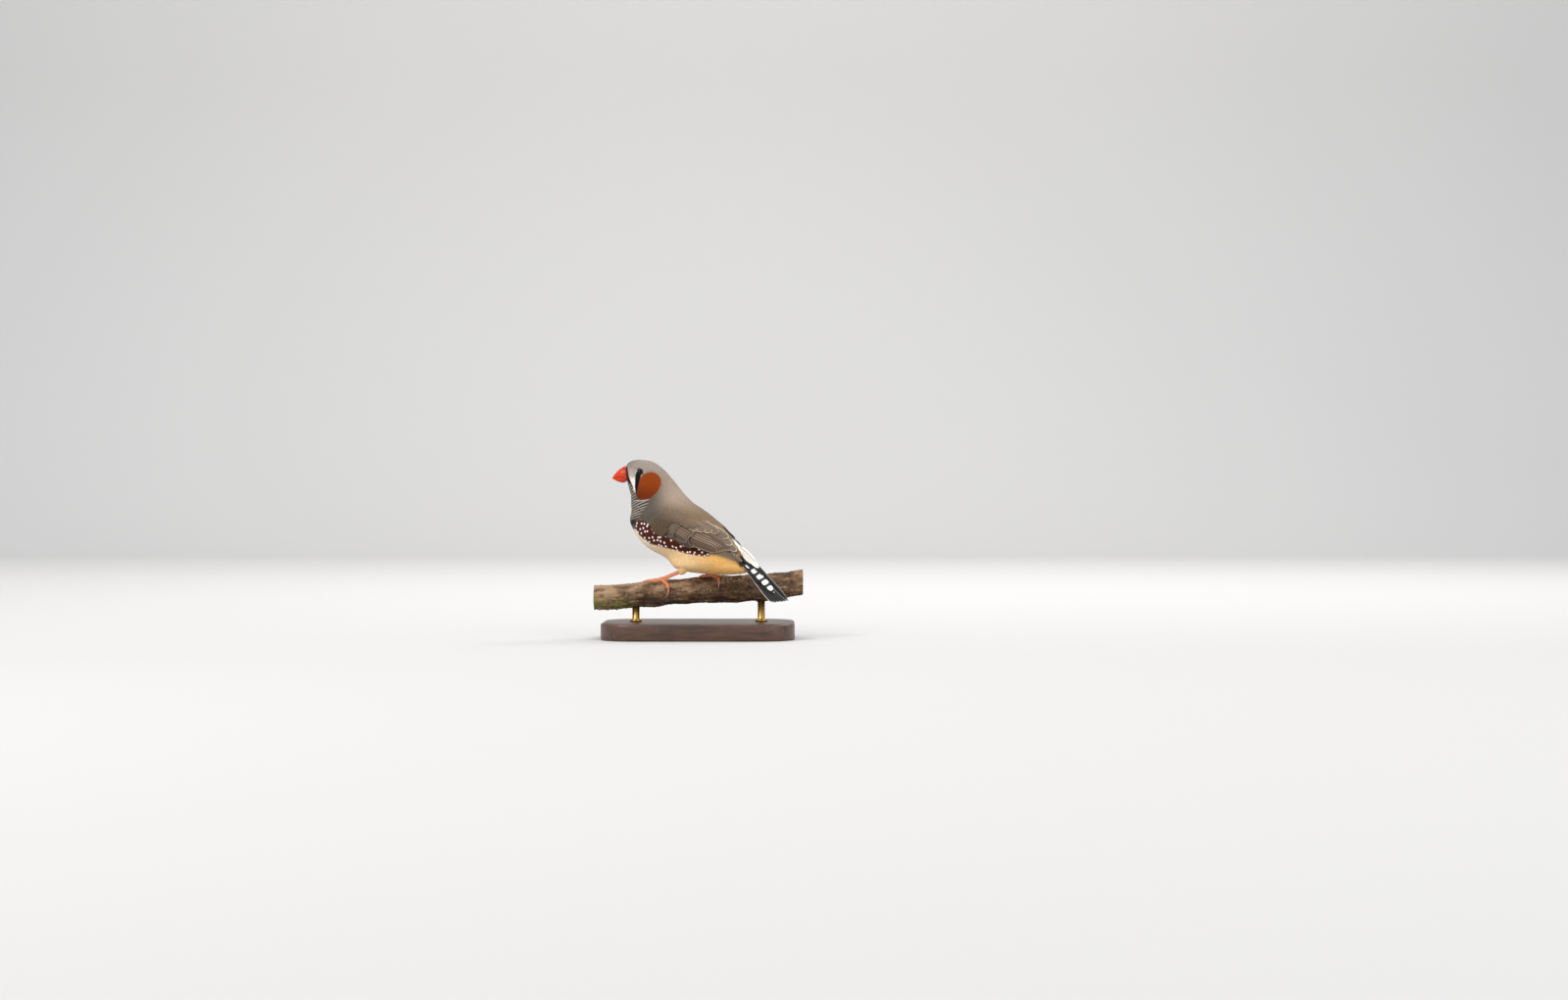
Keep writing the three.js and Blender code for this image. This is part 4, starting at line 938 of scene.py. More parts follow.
def lid_rings(side, rows=120, around=18):
    """A ring round the eye, a little longer than high, its round section beaded on the outer half."""
    middle, outward, level, above = eye_frame(side)
    turn = (2 * np.pi * np.arange(rows) / rows)[:, None, None]
    round_ = (2 * np.pi * np.arange(around) / around)[None, :, None]
    radial = np.cos(turn) * level * 1.06 + np.sin(turn) * above * 0.96
    thick = LID_THICK * (1 + 0.14 * np.sin(LID_BEADS * turn) * (np.cos(round_) > -0.3))
    rise = outward * (LID_OUT + thick * np.sin(round_))
    return middle + rise + radial * (LID_RING + thick * np.cos(round_))


def hoop_faces(rows, around):
    """Faces of rings joined into a closed hoop."""
    row, k = np.arange(rows)[:, None], np.arange(around)[None, :]
    next_row, ahead = (row + 1) % rows, (k + 1) % around
    corners = [row * around + k, row * around + ahead, next_row * around + ahead, next_row * around + k]
    return [np.stack(corners, -1).reshape(-1, 4)]


wet, tree, shader = finish("eye_wet", 0.1, Specular_IOR_Level=0.2)
from_axis, round_axis, _ = given(tree, "gaze")
rays = maths(tree, "SINE", maths(tree, "MULTIPLY", round_axis, 46.0))
rayed = maths(tree, "ADD", maths(tree, "MULTIPLY", rays, 0.012), from_axis)
paint(tree, shader, ramp(tree, rayed, (0.46, PUPIL), (0.52, IRIS), (0.64, IRIS), (0.76, IRIS_RIM)))
lid_skin, tree, shader = finish("lid_skin", 0.6)
pebbles = noise(tree, 0.3, 2.0)
paint(tree, shader, ramp(tree, pebbles, (0.35, LID_SKIN * 0.55), (0.65, LID_SKIN * 1.5)))
bump(tree, shader, pebbles, 0.05)
for name, side in SIDES.items():
    rings, tilt, turn = eye_rings(side)
    points, faces = closed_rings(perched(rings))
    gaze = np.stack([tilt.ravel(), turn.ravel(), 0 * tilt.ravel()], -1)
    gaze = np.vstack([gaze, [0, 0, 0], [np.pi, 0, 0]])
    piece("eyeball_" + name, points, faces, [wet], "eye", ["eye_" + name], gaze=gaze)
    rings = perched(lid_rings(side))
    faces = hoop_faces(*rings.shape[:2])
    piece("lid_" + name, rings.reshape(-1, 3), faces, [lid_skin], "grey_plumage")


# Legs and feet. Bare scaly legs and toes, orange-pink, with overlapping scutes along the upper side and soft
# pads below. Three toes point forwards and one back, and each lies on the bark. The claws are thin horn.
TARSUS_THICK, TARSUS_THIN = 1.12, 0.88
TOES = {
    "left": {
        "hind": ([(0.7, 0.1), (2.8, 0.5), (3.9, 0.95)], [(3.3, 1.35), (1.9, 1.62)], 0.86),
        "inner": ([(-1.2, -0.35), (-3.2, -0.9), (-4.3, -1.5)], [(-4.9, -1.85), (-4.7, -2.2)], 0.7),
        "middle": ([(-1.6, -0.28), (-5.2, -0.76), (-8.2, -1.2)], [(-9.6, -1.5), (-10.2, -1.85)], 0.76),
        "outer": ([(-1.5, -0.06), (-4.5, -0.16), (-7.0, -0.2)], [(-8.8, -0.06), (-9.8, 0.2)], 0.7),
    },
    "right": {
        "hind": ([(0.7, 0.1), (2.3, 0.3), (3.1, 0.66)], [(3.1, 1.02), (2.7, 1.34)], 0.86),
        "inner": ([(-1.3, -0.04), (-3.6, -0.02), (-5.5, 0.02)], [(-6.6, 0.16), (-7.3, 0.42)], 0.7),
        "middle": ([(-1.6, -0.2), (-5.0, -0.72), (-8.2, -1.2)], [(-9.5, -1.52), (-10.0, -1.86)], 0.76),
        "outer": ([(-1.0, -0.3), (-2.7, -0.9), (-3.7, -1.52)], [(-4.2, -1.88), (-4.0, -2.2)], 0.7),
    },
}  # each toe as places along and round the branch from the foot, its claw's places, and its radius
TOE_SWELL = through([1.0, 1.08, 0.92, 1.04, 0.9, 0.98, 0.74])
CLAW_RADIUS, CLAW_TAPER = 0.56, through([1.0, 0.86, 0.62, 0.3, 0.1])
KNUCKLE_RADIUS, SHIN_SCUTE, TOE_SCUTE = 1.28, 0.95, 0.72
LEG_SKIN, LEG_GAP, PAD_SKIN = tint("df8450"), tint("a2532e"), tint("e59a6e")
CLAW_ROOT, CLAW_TIP = tint("d6967a"), tint("a06c55")


def sleeve(middle, radius, reference, flat=1.0):
    """A round section carried along a path, its angle growing from the level side up over the upper side.

    Upwards is the part of the reference direction that is square to the path. flat narrows the level way.
    """
    level, above = square_to(np.gradient(middle, axis=0), reference)
    turn = 2 * np.pi * np.arange(radius.shape[1]) / radius.shape[1]
    across = flat * np.cos(turn)[:, None] * level[:, None] + np.sin(turn)[:, None] * above[:, None]
    return middle[:, None] + radius[..., None] * across


def tarsus_radius(share):
    """Thick at both ends and thinner between, by the power 2.5 of the distance from the middle."""
    return TARSUS_THIN + (TARSUS_THICK - TARSUS_THIN) * np.abs(2 * share - 1) ** 2.5


def scaled_sleeve(path, last, swell, scute_length, reference, rows=110, around=24, rounded=True):
    """Sleeve with scutes: along the upper side the radius climbs a little and drops at each scute's end.

    The lower side has small pads, and a rounded sleeve closes in over the last of its length.
    """
    share = np.linspace(0, 1, rows)
    middle = path(share * last)
    run = run_along(middle)
    turn = 2 * np.pi * np.arange(around) / around
    upper = smooth_step(np.sin(turn), -0.3, 0.4)[None, :]
    phase = run[:, None] / scute_length + 0.12 * np.cos(turn)[None, :]
    step = phase % 1.0
    gap = bell(np.minimum(step, 1 - step), 0, 0.13)
    radius = swell(share)[:, None] + 0.03 * step * upper - 0.025 * gap * upper
    radius = radius + 0.02 * np.sin(2 * np.pi * run[:, None] / 0.5) * np.sin(9 * turn) * (1 - upper)
    if rounded:
        radius = radius * np.sqrt(1 - smooth_step(share, 0.93, 1.0) ** 2 * 0.97)[:, None]
    colour = LEG_SKIN + (PAD_SKIN - LEG_SKIN) * (1 - upper)[..., None] + 0 * radius[..., None]
    colour = colour + (LEG_GAP - colour) * (0.6 * gap * upper)[..., None]
    return sleeve(middle, radius, reference(middle)), colour


def off_the_bark(middle):
    """Directions from the branch's middle line out to points."""
    return middle - perch_axis(middle[..., 0])


scaly, tree, shader = finish(
    "leg_scales", 0.5, Subsurface_Weight=0.1, Subsurface_Scale=0.001, Coat_Weight=0.1
)
horny(tree, shader, "scale_colour", noise(tree, 0.3, 3.0), (0.8, 0.76, 0.74), (0.3, 0.35), 0.04)
claw_horn, tree, shader = finish("claw_horn", 0.35, Coat_Weight=0.2)
fibres = noise(tree, 0.25, 2.0, (4.0, 1.0, 1.0))
horny(tree, shader, "claw_colour", fibres, (0.8, 0.78, 0.76), (0.2, 0.25), 0.01)
for name, leg in LEGS.items():
    foot_x, foot_angle = leg["foot"]
    joint = perch_point(foot_x, foot_angle, FOOT_RISE)
    cuff = perched(np.array(leg["cuff"]))
    axis = unit(joint - cuff)
    shin = through([cuff - 2.0 * axis, (cuff + joint) / 2, joint - 0.3 * axis])
    rings = scaled_sleeve(shin, 2, tarsus_radius, SHIN_SCUTE, lambda p: (-0.3, -0.1, 1.0), 130, 28, False)
    points, faces, tones = capped(*rings)
    piece("shin_" + name, points, faces, [scaly], "leg_skin", ["leg_" + name], scale_colour=tones)
    share = np.linspace(-0.98, 0.98, 22)
    ball = KNUCKLE_RADIUS * np.sqrt(1 - share**2)[:, None] * np.ones(24)
    knuckle = sleeve(joint + share[:, None] * KNUCKLE_RADIUS * (-1, 0, 0.02), ball, off_the_bark(joint))
    feet = [capped(knuckle, LEG_SKIN + 0 * knuckle)]
    claws = []
    for reach, claw, radius in TOES[name].values():
        along, round_ = np.array(reach).T
        on_bark = perch_point(foot_x + along, foot_angle + round_, radius - 0.02)
        path = through(np.vstack([joint, on_bark]))
        toe = scaled_sleeve(path, 3, lambda t: radius * TOE_SWELL(6 * t)[..., 0], TOE_SCUTE, off_the_bark)
        feet.append(capped(*toe))
        along, round_ = np.array(claw).T
        hook = perch_point(foot_x + along, foot_angle + round_, CLAW_RADIUS - 0.1)
        share = np.linspace(0, 1, 34)
        middle = through(np.vstack([on_bark[-1], hook]))(2 * share)
        thick = (CLAW_RADIUS * CLAW_TAPER(4 * share)[..., 0])[:, None] * np.ones(18)
        rings = sleeve(middle, thick, off_the_bark(middle), 0.72)
        tones = CLAW_ROOT + (CLAW_TIP - CLAW_ROOT) * share[:, None, None] ** 1.5
        claws.append(capped(rings, tones + 0 * rings))
    points, faces, tones = joined(feet)
    piece("toes_" + name, points, faces, [scaly], "leg_skin", ["foot_" + name], scale_colour=tones)
    points, faces, tones = joined(claws)
    hooks = ["claw_" + name + "_" + toe for toe in TOES[name]]
    piece("claws_" + name, points, faces, [claw_horn], "claw_horn", hooks, claw_colour=tones)


# Wings. Each folded wing is a thin arm and skin close to the body, under tiers of feathers laid like tiles:
# flight feathers below, then tertials, rows of coverts, and scapulars on top along the back.
WING_LOW = through([
    (-22.0, 10.6, 32.4), (-15.5, 12.5, 27.6), (-8.0, 13.2, 24.7), (0.0, 13.2, 20.8), (7.7, 11.7, 18.1),
    (17.0, 9.0, 16.1), (25.7, 5.6, 12.9),
])
WING_MIDDLE = through([
    (-19.0, 11.2, 37.4), (-11.6, 12.9, 33.4), (-3.6, 13.0, 29.8), (4.4, 12.0, 25.4), (11.7, 9.7, 21.5),
    (19.0, 7.4, 17.8), (26.1, 5.1, 13.8),
])
WING_TOP = through([
    (-13.0, 9.4, 42.2), (-6.0, 9.0, 39.8), (2.0, 7.4, 35.4), (9.4, 5.2, 30.2), (15.8, 3.0, 25.3),
    (21.4, 3.6, 20.0), (26.4, 4.6, 14.7),
])  # x, distance out from the body's middle, and z, from the wing's bend to its tip
WING_CORE_END = 0.44
COVERT, GREATER, TERTIAL, PRIMARY = tint("594939"), tint("584333"), tint("6b5a49"), tint("463727")
SCAPULAR, PALE, FAINT = tint("776350"), tint("d8c3a2"), tint("8f7d69")  # the last two are fringes
BAR_WHITE = tint("f3efe6")
WING_TIERS = (
    # count; root and tip as shares of the wing's length and depth, half width and lift off the wing's
    # surface, for the lowest feather and then for the highest; narrowness of the lower web, and weight of
    # the fringe; web; fringe
    (7, (0.42, 0.12, 0.985, 0.4, 1.5, -0.2), (0.46, 0.5, 0.86, 0.62, 1.9, 0.3), 0.4, 0.3, PRIMARY, PALE),
    (6, (0.36, 0.26, 0.76, 0.3, 2.0, 0.35), (0.34, 0.66, 0.83, 0.72, 2.3, 0.75), 0.3, 0.3, GREATER, PALE),
    (3, (0.36, 0.7, 0.87, 0.86, 2.5, 0.85), (0.3, 0.9, 0.7, 0.97, 2.7, 1.3), 0.1, 0.75, TERTIAL, PALE),
    (4, (0.26, 0.05, 0.55, 0.06, 1.2, 0.4), (0.26, 0.18, 0.5, 0.2, 1.3, 0.6), 0.3, 0.5, PRIMARY, FAINT),
    (2, (0.12, 0.06, 0.38, 0.07, 1.3, 0.8), (0.14, 0.1, 0.3, 0.12, 1.3, 0.95), 0.3, 0.6, PRIMARY, FAINT),
    (9, (0.24, 0.18, 0.47, 0.2, 1.5, 0.7), (0.24, 0.72, 0.46, 0.78, 1.8, 1.2), 0.15, 0.3, GREATER, PALE),
    (8, (0.15, 0.14, 0.34, 0.18, 1.5, 1.0), (0.16, 0.66, 0.32, 0.68, 1.7, 1.3), 0.05, 0.7, COVERT, FAINT),
    (4, (0.24, 0.64, 0.46, 0.7, 2.2, 1.35), (0.34, 0.92, 0.6, 0.94, 2.5, 1.6), 0.0, 0.6, SCAPULAR, PALE),
)
VANE_ACROSS = np.array([-1, -0.8, -0.52, -0.24, -0.07, 0, 0.07, 0.24, 0.52, 0.8, 1])
VANE_ALONG = 1 - (1 - np.linspace(0, 1, 22)) ** 1.6
VANE_THICK, SHAFT_RISE = 0.16, 0.1
BLOCK_STEP, BLOCK_FROM = 3.8, 12.3  # how far apart the white blocks stand, and where they are counted from


def wing_point(side, u, v):
    """Point of the folded wing, by the curve through its lower, middle and upper lines at the same share.

    Before the wing's bend the lines run straight on, forwards and inwards.
    """
    u, v = np.broadcast_arrays(np.asarray(u, float), v)
    low, middle, top = (line(6 * u) for line in (WING_LOW, WING_MIDDLE, WING_TOP))
    before = np.minimum(u, 0)[..., None]
    low = low + before * (38.0, 8.0, -20.0)
    middle = middle + before * (40.0, 8.0, -20.0)
    top = top + before * (40.0, 6.0, -18.0)
    v = v[..., None]
    blend = low * (1 - v) * (1 - 2 * v) + middle * 4 * v * (1 - v) + top * v * (2 * v - 1)
    return blend * (1, side, 1)


def wing_frame(side, u, v):
    """Points of the wing and the directions straight out from it."""
    back = wing_point(side, u + 0.01, v) - wing_point(side, u - 0.01, v)
    up = wing_point(side, u, v + 0.01) - wing_point(side, u, v - 0.01)
    normal = np.cross(back, up)
    normal *= np.sign(normal[..., 1:2] * side) / np.linalg.norm(normal, axis=-1, keepdims=True)
    return wing_point(side, u, v), normal


def wing_core(side, rows=50, across=20):
    """Rings of the shell under the feathers: a row lifted off the wing's surface and one sunk inside it."""
    u = np.linspace(0.05, WING_CORE_END, rows)[:, None]
    outer = 0.5 - 0.4 * smooth_step(u, 0.1, 0.4)
    depth = np.sqrt(np.minimum(1, (u - 0.03) / 0.1))
    share = 2 * np.arange(across)[None, :] / (across - 1) - 1
    edge = 0.35 + 0.65 * np.sqrt(1 - share**4)
    point, normal = wing_frame(side, u + 0 * share, 0.5 + 0.5 * depth * share)
    upper = point + normal * (outer * edge - 0.7 * smooth_step(share, 0.3, 1.0))[..., None]
    under = point - normal * (1.1 * edge + 0.3)[..., None]
    return np.concatenate([upper, under[:, ::-1]], 1)


def vane_width(a):
    """Half width's share along a feather: narrow at the root, full by a third, then a rounded tip."""
    tip = np.clip((a - 0.7) / 0.3, 0, 1)
    return np.maximum((0.5 + 0.5 * smooth_step(a, 0, 0.35)) * (1 - tip**2.4) ** 0.5, 0.04)


def vanes(point, normal, half, skew, upward, bow=0.03, tilt=0.1):
    """Upper and under faces of feathers along paths, and each point's distance from its shaft.

    half is the half width along each path, and skew narrows one web and broadens the other. Across the path
    the vane falls by bow times the square of the distance and rises by tilt times it, the thickness thins
    out to the edges, and a narrow ridge is the shaft. upward is 1 or -1 and turns the cross direction.
    """
    side = unit(upward * np.cross(normal, np.gradient(point, axis=1)))
    k = VANE_ACROSS
    across = half[..., None] * (k + skew * np.abs(k))
    shaft = SHAFT_RISE * bell(k, 0, 0.08) * (1 - 0.8 * VANE_ALONG)[:, None]
    body = VANE_THICK * (1 - k**2)
    middle = point[:, :, None] + side[:, :, None] * across[..., None]
    level = tilt * across - bow * across**2
    top = middle + normal[:, :, None] * (level + body / 2 + shaft)[..., None]
    under = middle + normal[:, :, None] * (level - body / 2 - shaft)[..., None]
    return top, under, across


def tier_rows(vane, web, fringe, tone, run, weight, bars):
    """The two faces of a tier's feathers, with each point's colours and its places for the pattern.

    The places are the shares across and along, the weight of white bars, the distance from the shaft, the
    run from the root, and the weight of the fringe.
    """
    top, under, across = vane
    even = 0 * across
    place = np.stack([VANE_ACROSS + even, VANE_ALONG[:, None] + even, bars + even], -1)
    barb = np.stack([across, run[..., None] + even, weight + even], -1)
    return top, under, web * (tone + even[..., None]), fringe * (tone + even[..., None]), place, barb


def both_faces(top, under=None):
    """Rows for closed sheets: the upper face's points, then the under face's without its rim."""
    under = top if under is None else under
    parts = [part.reshape(len(top), -1, top.shape[-1]) for part in (top, under[:, 1:-1, 1:-1])]
    return np.concatenate(parts, 1).reshape(-1, top.shape[-1])


def sheet_faces(count, rows, cols):
    """Faces of closed sheets, whose upper and under faces share the points of the rim."""
    upper = np.arange(rows * cols).reshape(rows, cols)
    under = upper.copy()
    under[1:-1, 1:-1] = rows * cols + np.arange((rows - 2) * (cols - 2)).reshape(rows - 2, cols - 2)
    above, below = (
        np.stack([g[:-1, :-1], g[:-1, 1:], g[1:, 1:], g[1:, :-1]], -1).reshape(-1, 4) for g in (upper, under)
    )
    one = np.vstack([above, below[:, ::-1]])
    size = rows * cols + (rows - 2) * (cols - 2)
    return (one[None] + size * np.arange(count)[:, None, None]).reshape(-1, 4)


def cell_map(count, across, along):
    """A place in its own square cell of the map for each point of each feather."""
    side = int(np.ceil(np.sqrt(count + 1)))
    number = np.arange(count)[:, None, None]
    u = (number % side + 0.5 + 0.45 * across + 0 * along) / side
    v = (number // side + 0.05 + 0.9 * along + 0 * across) / side
    return np.stack([u, v], -1)


def feather_piece(name, slot, part, material, tiers, core, core_colour):
    """Tiers of feathers and the closed core under them, both turned outwards, as one piece."""
    top, under, web, fringe, place, barb = map(np.concatenate, zip(*tiers))
    points, faces = both_faces(top, under), sheet_faces(*top.shape[:3])
    core, core_faces = closed_rings(core)
    if signed_volume(points, [faces]) * signed_volume(core, core_faces) < 0:
        core_faces = [corners[:, ::-1] for corners in core_faces]
    uv = both_faces(cell_map(len(top), VANE_ACROSS, VANE_ALONG[:, None]))
    faces = [faces] + [corners + len(points) for corners in core_faces]
    plain = np.zeros((len(core), 3))
    piece(
        name, perched(np.vstack([points, core])), faces, [material], slot, [part],
        uv=np.vstack([uv, plain[:, :2] + 0.999]), thin=True,
        web_colour=np.vstack([both_faces(web), plain + core_colour]),
        fringe_colour=np.vstack([both_faces(fringe), plain]),
        vane=np.vstack([both_faces(place), plain]), barb=np.vstack([both_faces(barb), plain + (1, 0, 0)]),
    )


def vane_material(name, dark_shaft):
    """Flight feathers: web and fringe colours from the mesh, fine slanting barbs, and a shaft.

    Where the mesh asks for bars, white blocks with round corners stand along the feather. The shaft is dark,
    and fainter on a light web.
    """
    material, tree, shader = finish(name, 0.62, Sheen_Weight=0.1, Specular_IOR_Level=0.35)
    across, along, barred = given(tree, "vane")
    aside, run, edged = given(tree, "barb")
    out = maths(tree, "ABSOLUTE", across)
    rim = ranged(tree, maths(tree, "MULTIPLY_ADD", noise(tree, 0.6, 2.0), 0.1, out), 0.83, 0.93)
    end = ranged(tree, along, 0.955, 0.985)
    edge = maths(tree, "MULTIPLY", maths(tree, "MAXIMUM", rim, end), edged)
    step = maths(tree, "MULTIPLY", maths(tree, "SUBTRACT", run, BLOCK_FROM), 1 / BLOCK_STEP)
    step = maths(tree, "SUBTRACT", maths(tree, "FRACT", step), 0.4)
    step = maths(tree, "MULTIPLY_ADD", noise(tree, 1.2, 2.0), 0.12, maths(tree, "ABSOLUTE", step))
    lengthwise = maths(tree, "POWER", maths(tree, "MULTIPLY", step, 1 / 0.39), 4.0)
    crosswise = maths(tree, "POWER", maths(tree, "MULTIPLY", out, 1 / 0.84), 4.0)
    block = ranged(tree, maths(tree, "ADD", lengthwise, crosswise), 1.12, 0.88)
    block = maths(tree, "MULTIPLY", block, ranged(tree, run, BLOCK_FROM - 0.9, BLOCK_FROM - 0.7))
    block = maths(tree, "MULTIPLY", block, barred)
    slant = maths(tree, "MULTIPLY_ADD", maths(tree, "ABSOLUTE", aside), -0.9, run)
    barbs = maths(tree, "SINE", maths(tree, "MULTIPLY", slant, 2 * np.pi / 0.24))
    tone = maths(tree, "MULTIPLY_ADD", noise(tree, 0.9, 3.0), 0.35, 0.78)
    tone = maths(tree, "MULTIPLY_ADD", barbs, 0.045, tone)
    ground = mixed(tree, edge, given_colour(tree, "web_colour"), given_colour(tree, "fringe_colour"))
    ground = toned(tree, mixed(tree, block, ground, BAR_WHITE), tone)
    shaft = ranged(tree, maths(tree, "ABSOLUTE", aside), 0.13, 0.06)
    lightness = node(tree, "SeparateColor", {0: ground}).outputs[1]
    shaft = maths(tree, "MULTIPLY", shaft, maths(tree, "MULTIPLY_ADD", lightness, -0.75, 0.75, clamp=True))
    paint(tree, shader, mixed(tree, shaft, ground, dark_shaft))
    bump(tree, shader, barbs, 0.012)
    return material


wing_vanes = vane_material("wing_vanes", tint("2c231d"))
for name, side in SIDES.items():
    draw = np.random.default_rng(7)
    tiers = []
    for count, lowest, highest, skew, weight, web, fringe in WING_TIERS:
        share = np.arange(count)[:, None] / max(1, count - 1)
        build = np.array(lowest) + (np.array(highest) - lowest) * share
        root, tip = build[:, None, :2], build[:, None, 2:4] + draw.normal(0, 0.004, (count, 2))[:, None]
        path = root + (tip - root) * VANE_ALONG[:, None]
        point, normal = wing_frame(side, path[..., 0], path[..., 1])
        lift = build[:, 5:] - 0.45 * (1 - VANE_ALONG) - 1.5 * (1 - VANE_ALONG) ** 5
        point = point + normal * lift[..., None]
        half = build[:, 4:5] * vane_width(VANE_ALONG)
        # tertials and scapulars lie close over the back, and the rest stand a little off it
        bow, tilt = (0.08, 0.0) if web is TERTIAL or web is SCAPULAR else (0.03, 0.1)
        run = np.linalg.norm(np.diff(point, axis=1), axis=-1).cumsum(1)
        run = np.pad(run, ((0, 0), (1, 0)))
        tone = 1 + draw.normal(0, 0.05, (count, 1, 1, 1))
        vane = vanes(point, normal, half, skew, -side, bow, tilt)
        tiers.append(tier_rows(vane, web, fringe, tone, run, weight, 0))
    core = wing_core(side)
    feather_piece("wing_feathers_" + name, "wing_feather", "wing_" + name, wing_vanes, tiers, core, COVERT)


# Tail. Six pairs of long blackish feathers lie stacked like a roof under the middle pair. Black coverts with
# broad white bars lie along the sides of their roots, white ones in the middle, and cream ones underneath.
TAIL_ROOT, TAIL_SLOPE = np.array([19.0, 0.0, 22.9]), np.radians(44.5)
TAIL_AXIS = np.array([np.cos(TAIL_SLOPE), 0.0, -np.sin(TAIL_SLOPE)])
TAIL_UP = np.array([np.sin(TAIL_SLOPE), 0.0, np.cos(TAIL_SLOPE)])
TAIL_BLACK, TAIL_EDGE, COVERT_CREAM = tint("1c1c1c"), tint("d6cbbb"), tint("dfb987")
TAIL_PAIRS = ((4.8, 0.9), (4.1, 0.1), (3.3, 0.08), (2.5, 0.08), (1.6, 0.12), (0.7, 0.4))
# tips' distances from the middle, and weights of the pale edge, from the outer pair to the middle one
TAIL_TIERS = [
    # along, across and lift at the root and then at the tip, half width, web, fringe, its weight, and bars
    (
        (7, 0.45 * aside, -1.6 + 0.3 * i), (35.4 + 0.66 * i, aside, -1.5 + 0.33 * i),
        1.9, TAIL_BLACK, TAIL_EDGE, weight, 0,
    )
    for i, (aside, weight) in enumerate(TAIL_PAIRS)
] + [
    ((8, 1.6, -2.6), (20, 1.8, -2.1), 2.1, COVERT_CREAM, COVERT_CREAM, 0, 0),
    ((8, 0.6, -2.3), (24, 0.9, -1.9), 2.1, COVERT_CREAM, COVERT_CREAM, 0, 0),
    ((3, 3.2, -1.6), (15, 3.9, -1.0), 1.7, COVERT_CREAM, COVERT_CREAM, 0, 0),
    ((4, 3.6, -1.5), (24, 4.4, 0.1), 1.7, TAIL_BLACK, TAIL_BLACK, 0, 0),
    ((5, 3.0, -1.5), (32, 3.2, 0.4), 2.1, TAIL_BLACK, TAIL_BLACK, 0, 1),
    ((4, 1.2, -1.5), (22, 1.6, 0.7), 1.5, TAIL_BLACK, TAIL_BLACK, 0, 0),
    ((2, 1.9, -1.4), (14, 2.1, 0.85), 1.3, RUMP_WHITE, RUMP_WHITE, 0, 0),
    ((2, 1.0, -1.4), (17.6, 1.2, 0.95), 1.8, RUMP_WHITE, RUMP_WHITE, 0, 0),
    ((1, 0.4, -1.4), (14, 0.5, 1.1), 1.8, RUMP_WHITE, RUMP_WHITE, 0, 0),
]
TAIL_CORE = through([(6, 3.4, 0.9, -3.0), (10, 3.8, 0.8, -2.8), (14, 3.9, 0.5, -2.3), (18, 3.6, 0.2, -1.6)])
# along, half width, and heights of its upper and under sides


def tail_point(along, across, lift):
    """Point over the tail: the roof falls away from the middle as the distance across to the power 1.35."""
    level = lift - 0.36 * np.abs(across) ** 1.35
    across_part = np.stack([0 * across, across, 0 * across], -1)
    return TAIL_ROOT + along[..., None] * TAIL_AXIS + level[..., None] * TAIL_UP + across_part


def tail_core(rows=26, across=17):
    """Rings of the tail's fleshy root, between an upper and an under row."""
    along, half, top, under = TAIL_CORE(np.linspace(0, 3, rows)).T[:, :, None]
    share = 2 * np.arange(across)[None, :] / (across - 1) - 1
    above = tail_point(along + 0 * share, share * half, top + 0 * share)
    below = tail_point(along + 0 * share, share * half, under + 0 * share)
    return np.concatenate([above, below[:, ::-1]], 1)


tail_vanes = vane_material("tail_vanes", tint("0c0a0a"))
tiers = []
both = np.array([-1.0, 1.0])[:, None]
for root, tip, half, web, fringe, weight, bars in TAIL_TIERS:
    along = root[0] + (tip[0] - root[0]) * VANE_ALONG + 0 * both
    across = both * (root[1] + (tip[1] - root[1]) * VANE_ALONG)
    lift = tip[2] + (root[2] - tip[2]) * (1 - VANE_ALONG) ** 5 + 0 * both
    point = tail_point(along, across, lift)
    slope = tail_point(along, across + 0.05, lift) - tail_point(along, across - 0.05, lift)
    normal = unit(-np.cross(TAIL_AXIS, slope))
    vane = vanes(point, normal, half * vane_width(VANE_ALONG) + 0 * along, 0, 1, tilt=0)
    tiers.append(tier_rows(vane, web, fringe, 1, along, weight, bars))
feather_piece("tail_feathers", "tail_feather", "tail", tail_vanes, tiers, tail_core(), TAIL_BLACK)


# Coat. Small soft feathers over the skin, thousands of them, laid like tiles towards the tail: shortest
# round the bill and eyes, longest on the flanks and belly. Each is a thin closed sheet with a frayed tip.
COAT_LENGTH = ([0, 1, 2, 4, 6, 8, 12, 15], [0.9, 1.1, 1.4, 1.8, 2.1, 2.8, 3.5, 3.7])
TUFT_RATIO, TUFT_SHOWING = 0.46, 0.19  # a feather's width over its length, and the share of it left showing
EVEN_STEPS = (0.7548776662, 0.5698402910)  # steps that fill a square evenly
FREE_ROOM = 9.0  # more than any feather's length
RUMP_END = 13.3  # section from which the tail's coverts take over in the middle


